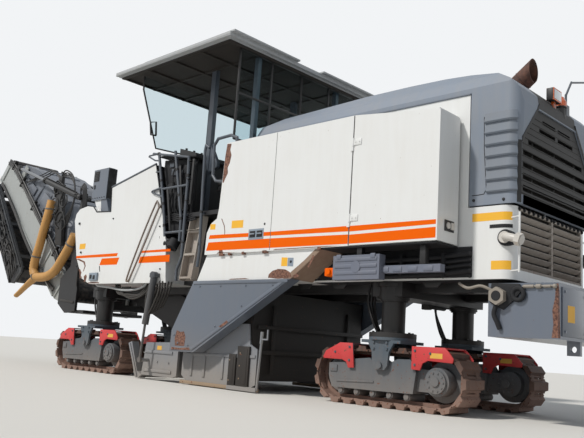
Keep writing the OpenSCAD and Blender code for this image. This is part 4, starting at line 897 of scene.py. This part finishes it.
for name, x, mid in tracks:
    body = "track_" + name
    paint(track_paint, "track_frame_" + name)
    paint(chain_steel, "track_chain_" + name)
    for side in (-1, 1):
        for outline in (guard_rear, guard_front):
            slab([(x + a, b) for a, b in outline], *span(side, 0.1795, 0.196, mid), 0.003)
    for a, b in ((-0.762, -0.381), (0.381, 0.561)):
        brick((x + a, x + b), (mid - 0.184, mid + 0.184), (0.6285, 0.644), 0.002)
    add("chain_guards_" + name, red, body)
    for side in (-1, 1):
        for far, size, spots in heads:
            bolts([(x + a, mid + side * far, b) for a, b in spots], (0, side, 0), size)
        bar((x + HUB_X, mid + side * 0.22, HUB_Z), (x + HUB_X, mid + side * 0.24, HUB_Z), 0.045)
        for a in (-0.3, -0.085, 0.13, 0.345, 0.56):
            bar((x + a, mid + side * 0.13, 0.136), (x + a, mid + side * 0.15, 0.136), 0.03)
        slab([(x + 0.1, 0.245), (x + 0.6, 0.225), (x + 0.6, 0.245), (x + 0.1, 0.265)],
             *span(side, 0.166, 0.176, mid), 0.003)
        brick((x + 0.6, x + 0.7), span(side, 0.166, 0.178, mid), (0.33, 0.4))
    add("track_fastenings_" + name, track_paint, body)
    for side in (-1, 1):
        brick((x - 0.74, x - 0.6), span(side, 0.1955, 0.1968, mid), (0.535, 0.585), 0)
    add("guard_labels_" + name, yellow, body)
    # Two square grouser lugs stand on each of 25 shoes. The loop's lower half is its upper half
    # turned over.
    flat, radius = 1.3, 0.274
    half = flat + pi * radius
    for i in range(25):
        lower, run = divmod(i * 2 * half / 25, half)
        turn = max(0.0, run - flat) / radius
        spot = Vector((min(run, flat) - flat / 2 + radius * sin(turn), 0, radius * cos(turn)))
        if lower:
            spot, turn = -spot, turn + pi
        at = Matrix.Translation(spot + Vector((x - 0.035 + SHIFT, mid, 0.312)))
        at = at @ Matrix.Rotation(turn, 4, "Y") @ Matrix.Translation((0, 0, -0.01))
        for y in (-0.115, 0.115):
            at_lug = at @ Matrix.Translation((0, y, 0)) @ Matrix.Diagonal((0.085, 0.07, 0.03, 1))
            lug = bmesh.ops.create_cube(bm, size=1, matrix=at_lug)["verts"]
            rims = list({e for v in lug for e in v.link_edges})
            bmesh.ops.bevel(bm, geom=rims, offset=0.006, offset_type="OFFSET", segments=1,
                            profile=0.5, affect="EDGES", material=-1)
    add("track_links_" + name, chain_steel, body)
columns = [(name, x, COLUMN_Y if mid > 0 else -COLUMN_Y) for name, x, mid in tracks]
for name, x, y in columns:
    bar((x, y, 1.1), (x, y, 1.285), 0.15, sides=40)
    bar((x, y, 1.255), (x, y, 1.3), 0.185, sides=40)
    bolts(circle(x, y, 1.256, 0.165), (0, 0, -1))
add("column_collars", frame_paint_and_shade)
for name, x, y in columns:
    bar((x, y, 0.771), (x, y, 1.105), 0.1267, sides=40)
    bar((x, y, 0.719), (x, y, 0.7712), 0.2514, sides=40)
    bolts(circle(x, y, 0.771, 0.21), (0, 0, 1), 0.014)
    add("column_sleeve_" + name, frame_paint_and_shade, "track_" + name)

# UNDERSIDE OF THE LOCKERS
# A dark sheet covers the hull's flank behind the tool case: partly the dark frame and hoses there,
# partly painted shade under the locker's overhang. Dark sheets under the locker's floor and under
# the hull's lower edge are painted shade. Steel pipes and rubber hoses run along the flank in
# clamps.
slab([(-1.02, 1.33), (1.0, 1.33), (0.62, 1.632), (-1.02, 1.632)], 0.8695, 0.882, 0.002)
brick((-0.86, 0.6), (0.88, 1.262), (1.622, 1.638), 0.002)
for z, r in ((1.36, 0.022), (1.42, 0.016), (1.47, 0.016), (1.53, 0.024)):
    hose([(-1.02, 0.9, z + 0.03), (-0.6, 0.925, z), (0.0, 0.93, z - 0.012), (0.5, 0.92, z + 0.01),
          (0.72, 0.9, z + 0.02)], r, 10)
for x in (-0.75, -0.25, 0.28):
    brick((x, x + 0.03), (0.88, 0.955), (1.33, 1.57), 0.003)
# This sheet under the hull's lower edge is painted shade.
slab([(1.02, 0.0), (1.02, 0.868), (-1.31, 0.868), (-1.37, 0.85), (-1.41, 0.81), (-1.428, 0.75),
      (-1.428, 0.0)], 1.3065, 1.3095, 0, "Z")
pair("locker_underside_pipes_and_painted_shade", seam)

# SLEWING CONSOLE AND LIFT CYLINDERS
# The console that carries the conveyor is welded plate. Its two lift cylinders have honed barrels
# and hard-chromed rods.
chrome = material("hard-chromed rod")
place = node(chrome, "TexCoord").outputs["Object"]
smear = node(chrome, "TexNoise", Vector=place, Scale=20.0, Detail=4.0).outputs[0]
oily = node(chrome, "MapRange", Value=smear, To_Min=0.12, To_Max=0.35).outputs[0]
surface(chrome, Base_Color=lin("#8A8C8F"), Metallic=1.0, Roughness=oily)
paint(frame_paint_and_shade, "lift_cylinders")
for y in (-0.695, 0.695):
    a, b = Vector((6.79, y, 2.9)), Vector((9.27, y, 3.74))
    bar(a + (b - a) * 0.56, a + (b - a) * 0.965, 0.0275)
add("lift_rods", chrome, "console")
for y in (-0.695, 0.695):
    a, b = Vector((6.79, y, 2.9)), Vector((9.27, y, 3.74))
    for t in (0.03, 0.52):
        bar(a + (b - a) * t, a + (b - a) * (t + 0.03), 0.056)
    bar(a + (b - a) * 0.06 + Vector((0, 0, 0.062)), a + (b - a) * 0.52 + Vector((0, 0, 0.062)),
        0.01)
for y in (0.607, 0.637):
    hose([(6.69, y, 1.35), (6.702, y, 1.65), (6.704, y, 2.05), (6.705, y - 0.005, 2.6),
          (6.74, y, 2.88)], 0.013)
slab([(6.7, 1.72), (6.74, 1.72), (6.84, 2.85), (6.8, 2.85)], 0.638, 0.652, 0.004)
for k in range(4):
    hose([(6.74 + 0.03 * k, 0.65, 2.3), (6.66 + 0.03 * k, 0.665, 2.7),
          (6.66 + 0.04 * k, 0.67, 3.02), (6.78 + 0.03 * k, 0.66, 3.16 - 0.02 * k),
          (6.9, 0.64, 3.02), (6.88, 0.6, 2.9)], 0.012)
slab([(6.72, 1.06), (7.16, 1.1), (7.16, 1.14), (6.72, 1.1)], 0.638, 0.652, 0.004)
hose_rubber = sprayed("black hydraulic hose rubber", "#17181A", 0.5, "#4A433C", 0.35, 2.4, 0.8)
pair("console_hoses_and_ribs", hose_rubber, "console")

# DISCHARGE CONVEYOR, LOWER SECTION
# Two plate girders with welded ribs, idler rollers underneath and a sheet cover with pressed
# stiffeners. Hoses and cables are tied along the girders.


def climb(u, w):
    # From metres along the 42 degree girder and square to it, to x and z.
    c, s = cos(radians(42)), sin(radians(42))
    return (7.05 + u * c - w * s, 1.27 + u * s + w * c)


def slope(u, y, w):
    x, z = climb(u, w)
    return (x, y, z)


def tilted(at, u, w, y, edge=0.003):
    # A brick that lies in the directions of a girder.
    slab([at(u[0], w[0]), at(u[1], w[0]), at(u[1], w[1]), at(u[0], w[1])], y[0], y[1], edge)


conveyor_paint = sprayed("pale grey conveyor paint", "#A4A8A7", 0.55, "#8A857B", 0.45, 2.0, 0.69)
cover_paint = sprayed("dusty cover sheet", "#6A707A", 0.45, "#7E7972", 0.5, 2.5, 0.7)
# The folded section's paint is the conveyor grey darkened as painted shade, where it hangs under
# the lower section.
upper_paint_and_shade = sprayed("conveyor paint darkened as painted shade", "#33383E", 0.5, "#625D57", 0.4, 2.5, 0.7)
paint(conveyor_paint, "conveyor_lower_frame")
paint(upper_paint_and_shade, "conveyor_upper_frame")
paint(cover_paint, "conveyor_cover")
for u in (0.3, 1.1, 1.62, 3.96):
    tilted(climb, (u, u + 0.035), (-0.4, 0.0), (0.549, 0.572))
for line in ([(0.35, -0.425), (4.08, -0.465), (4.08, -0.43), (0.35, -0.39)],
             [(-0.18, 0.065), (1.95, 0.065), (4.08, -0.01), (4.08, 0.02), (1.95, 0.098),
              (-0.18, 0.098)]):
    slab([climb(u, w) for u, w in line], 0.549, 0.585, 0.003)
for i in range(8):
    u = 0.5 + i * 0.46
    bar(slope(u, 0.0, -0.275), slope(u, 0.5, -0.275), 0.035)
bolts([slope(0.32 + i * 0.22, 0.585, 0.082 if i < 8 else 0.082 - (i - 8) * 0.009)
       for i in range(16)], (0, 1, 0), 0.009)
pair("lower_girder_ribs", conveyor_paint, "conveyor_lower")
for u, h in ((0.86, 0.655), (1.25, 0.735), (1.65, 0.812), (2.05, 0.78), (2.45, 0.72), (2.85, 0.625),
             (3.25, 0.47)):
    for side in (1, -1):
        sweep([slope(u, side * 0.548, 0.09), slope(u, side * 0.546, h * 0.5),
               slope(u, side * 0.52, h - 0.16), slope(u, side * 0.345, h), slope(u, 0, h)], 0.015,
              8)
for line, far, edge in (([(1.0, 0.3), (3.3, 0.12), (3.3, 0.145), (1.0, 0.325)], 0.556, 0.003),
                        ([(1.9, 0.36), (2.25, 0.33), (2.25, 0.55), (1.9, 0.6)], 0.575, 0.006),
                        ([(2.6, 0.16), (3.1, 0.12), (3.1, 0.3), (2.6, 0.38)], 0.56, 0.006)):
    slab([climb(u, w) for u, w in line], 0.54, far, edge)
add("cover_stiffeners", cover_paint, "conveyor_lower")
for k in range(6):
    y, w = 0.6 + 0.014 * (k % 2), 0.1 + 0.024 * k
    hose([slope(0.55, 0.575, -0.1), slope(0.75, y, w - 0.04), slope(1.4, y, w + 0.02 * sin(k)),
          slope(2.2, y + 0.01, w), slope(3.0, y, w + 0.025 * cos(k * 2)), slope(3.7, y, w - 0.03),
          slope(4.02, 0.585, w - 0.12)], 0.01 + 0.003 * (k % 3))
for k in range(3):
    w = -0.4 - 0.02 * k
    hose([slope(0.4, 0.59, w + 0.1), slope(1.2, 0.6, w), slope(2.0, 0.605, w - 0.03),
          slope(2.9, 0.6, w + 0.01), slope(3.9, 0.59, w)], 0.012)
for u in (0.9, 1.5, 2.3, 3.1, 3.7):
    tilted(climb, (u, u + 0.03), (0.05, 0.27), (0.57, 0.634))
slab([(7.6, 3.25), (7.86, 3.28), (7.62, 2.12), (7.4, 2.1)], 0.56, 0.632, 0.008)
slab([(7.66, 3.26), (7.8, 3.27), (7.78, 3.42), (7.66, 3.41)], 0.56, 0.622, 0.008)
for k in range(4):
    s = 0.05 * k
    hose([(7.74 - 0.03 * k, 0.6, 3.4), (7.55 - s, 0.625, 3.5 - s),
          (7.25 - s * 0.5, 0.635, 3.36 - s), (7.12, 0.63, 3.02 - s), (7.22 + s, 0.62, 2.62),
          (7.4, 0.6, 2.42 + s)], 0.013)
for k in range(3):
    hose([(7.7 + 0.04 * k, 0.6, 3.38), (7.95 + 0.06 * k, 0.62, 3.5 + 0.03 * k),
          (8.35 + 0.05 * k, 0.6, 3.46 + 0.04 * k), slope(3.0, 0.59, 0.24)], 0.011)
for k in range(9):
    a, reach = k * 2.4, 0.1 + 0.03 * (k % 3)
    hose([(7.44 + 0.045 * k + reach * cos(a + t), 0.63 + 0.008 * (k % 3), 2.48 + 0.09 * (k * 5 % 9)
           + reach * sin(a + t)) for t in (0.0, 1.1, 2.2, 3.4, 4.6)], 0.01 + 0.003 * (k % 2))
pair("conveyor_hoses_and_cables", hose_rubber, "conveyor_lower")

# DUST HOSES
# Two suction hoses of ochre polyurethane on a spiral wire join at a tee under the conveyor. They
# are clamped at both ends, so they keep their shape.
ochre = sprayed("ochre polyurethane hose", "#CC9650", 0.5, "#A08258", 0.4, 3.0, 0.78)


def ribbed(points, radius, spacing=0.05):
    # Suction hose: the wall bulges 6 mm between turns of wire that are "spacing" apart.
    line, run, spots = curved(points, 14), 0.0, []
    for a, b in zip(line, line[1:]):
        while run < (b - a).length:
            spots.append(a + (b - a).normalized() * run)
            run += spacing / 2
        run -= (b - a).length
    sweep(spots, [radius - (0.007 if k % 2 else 0) for k in range(len(spots))], 24)


ribbed([(7.93, 0.63, 2.96), (7.95, 0.66, 2.69), (8.02, 0.67, 2.41), (8.11, 0.67, 2.12),
        (8.2, 0.67, 1.88), (8.22, 0.67, 1.68), (8.12, 0.67, 1.555)], 0.082)
ribbed([(6.89, 0.665, 2.25), (7.02, 0.665, 2.06), (7.23, 0.67, 1.82), (7.42, 0.67, 1.64),
        (7.66, 0.67, 1.55), (7.9, 0.67, 1.53), (8.14, 0.67, 1.54)], 0.082)
suction = add("dust_hoses_ribbed", ochre, "conveyor_lower", angle=50)
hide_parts("dust_hoses")
for spot, way in (((7.94, 0.645, 2.8), (0.05, 0, -1)), ((7.0, 0.665, 2.09), (0.62, 0, -0.8)),
                  ((8.12, 0.67, 1.545), (0.9, 0, -0.4)), ((8.19, 0.67, 1.92), (0.25, 0, -1))):
    spot, way = Vector(spot), Vector(way).normalized()
    bar(spot - way * 0.014, spot + way * 0.014, 0.091, sides=28)
brick((7.86, 8.0), (0.545, 0.66), (2.86, 2.93), 0.006)
brick((6.87, 6.93), (0.6, 0.66), (2.16, 2.22), 0.006)
sweep([(7.9, 0.56, 1.6), (7.93, 0.66, 1.5)], 0.02, 8)
add("dust_hose_clamps", steel, "conveyor_lower")
sweep([(8.06, 0.67, 1.545), (8.22, 0.67, 1.475), (8.45, 0.67, 1.365), (8.62, 0.67, 1.275),
       (8.78, 0.67, 1.195)], [0.075, 0.072, 0.06, 0.056, 0.05], 20, 0.75)
add("dust_nozzle", ochre, "conveyor_lower", angle=50)

# DISCHARGE CONVEYOR, FOLDED UPPER SECTION
# The thrown-out end of the conveyor, folded back under the lower one. Its girders are ribbed, with
# rollers, a head drum and a rubber flap.


def hang(u, w):
    a, b = radians(-130), radians(-40)
    return (10.46862 + u * cos(a) + w * cos(b), 3.67532 + u * sin(a) + w * sin(b))


for i in range(8):
    u = 0.12 + i * 0.31
    tilted(hang, (u, u + 0.03), (0.09, 0.565), (0.549, 0.572))
for w in (0.075, 0.54):
    tilted(hang, (0.08, 2.42), (w, w + 0.03), (0.549, 0.584))
for i in range(7):
    x, z = hang(0.3 + i * 0.31, 0.47)
    bar((x, 0, z), (x, 0.5, z), 0.032)
spots = [hang(0.16 + i * 0.24, 0.555) for i in range(10)]
bolts([(x, 0.584, z) for x, z in spots], (0, 1, 0), 0.009)
pair("upper_girder_ribs", upper_paint_and_shade, "conveyor_upper")
for k in range(7):
    w, s = 0.16 + 0.055 * k, 0.05 * sin(k * 2.3)
    spots = [hang(0.06, w - 0.06), hang(0.45, w + s), hang(0.9, w - s), hang(1.4, w + s * 0.6),
             hang(1.9, w - 0.02), hang(2.3, w + 0.02), hang(2.42, w + 0.06)]
    hose([(x, 0.588 + 0.012 * (k % 3), z) for x, z in spots], 0.011 + 0.003 * (k % 2))
for k in range(13):
    a, reach = k * 2.4, 0.07 + 0.03 * (k % 3)
    spots = [hang(0.16 + 0.17 * k + reach * 1.6 * cos(a + t), 0.32 + 0.11 * sin(k * 1.7)
                  + reach * sin(a + t)) for t in (0.0, 1.1, 2.2, 3.4, 4.6)]
    hose([(x, 0.6 + 0.012 * (k % 4), z) for x, z in spots], 0.011 + 0.004 * (k % 2))
for u, w in ((0.7, 0.3), (1.3, 0.42), (1.65, 0.22), (2.1, 0.34)):
    tilted(hang, (u, u + 0.12), (w, w + 0.1), (0.56, 0.618), 0.006)
for u in (0.4, 1.2, 2.0):
    tilted(hang, (u, u + 0.025), (0.15, 0.46), (0.56, 0.612))
both_sides()
tilted(hang, (2.44, 2.452), (0.12, 0.42), (-0.46, 0.46), 0.002)
add("upper_hoses_and_flap", hose_rubber, "conveyor_upper")

# FILTER BOX
# A moulded air filter housing on a white folded bracket. It has one slatted window, a blank oval
# and a row of screws along its foot. A dark sheet on its rear face is painted shade.
brick((5.495, 5.645), (1.136, 1.1445), (2.955, 3.125))
for i in range(6):
    brick((5.505, 5.635), (1.144, 1.15), (2.97 + i * 0.026, 2.982 + i * 0.026), 0.002)
bar((5.605, 1.139, 2.885), (5.605, 1.148, 2.885), 0.021, sides=16)
bar((5.605, 1.139, 2.855), (5.605, 1.148, 2.855), 0.021, sides=16)
bolts([(5.3 + 0.065 * i, 1.14, 2.685) for i in range(6)], (0, 1, 0), 0.008)
# Painted shade: a dark sheet on the box's rear face, which faces away from the sun.
brick((5.2435, 5.2505), (0.99, 1.13), (2.66, 3.14), 0.002)
for i in range(5):
    x = 5.27 + i * 0.09
    slab([(x, 1.0), (x + 0.05, 1.0), (x + 0.05, 1.12), (x, 1.12)], 3.148, 3.16, 0.004, "Z")
add("filter_box_louvres_and_painted_shade", frame_paint_and_shade)
slab([(5.372, 2.442), (5.47, 2.46), (5.6, 2.652), (5.412, 2.652)], 1.02, 1.118, 0.003)
add("filter_bracket", white_paint)

# SHIELD CYLINDERS AND HOSES
# Two cylinders raise the shield. Rubber hoses loop down to them from the hull, and a braided steel
# hose runs along the hull's lower edge.
for k in range(5):
    y = 1.12 + 0.028 * k
    hose([(3.42 + 0.03 * k, y - 0.02, 1.33), (3.45 + 0.02 * k, y, 1.15),
          (3.56 + 0.04 * k, y, 0.98 - 0.03 * k), (3.66 + 0.03 * k, y + 0.005, 1.08),
          (3.68 + 0.02 * k, y - 0.02, 1.3)], 0.013)
for k in range(3):
    hose([(3.92 + 0.05 * k, 1.05, 1.32), (4.05 + 0.05 * k, 1.1, 1.16),
          (4.3 + 0.06 * k, 1.11, 1.1 + 0.03 * k), (4.6 + 0.05 * k, 1.09, 1.18),
          (4.75 + 0.05 * k, 1.05, 1.32)], 0.014)
pair("shield_hoses", hose_rubber)
hose([(5.32, 1.09, 1.32), (5.24, 1.1, 1.295), (4.95, 1.1, 1.27), (4.57, 1.1, 1.225),
      (4.25, 1.1, 1.232), (4.06, 1.1, 1.275), (4.01, 1.09, 1.32)], 0.016, 10)
pair("braided_hoses", plate_grey)
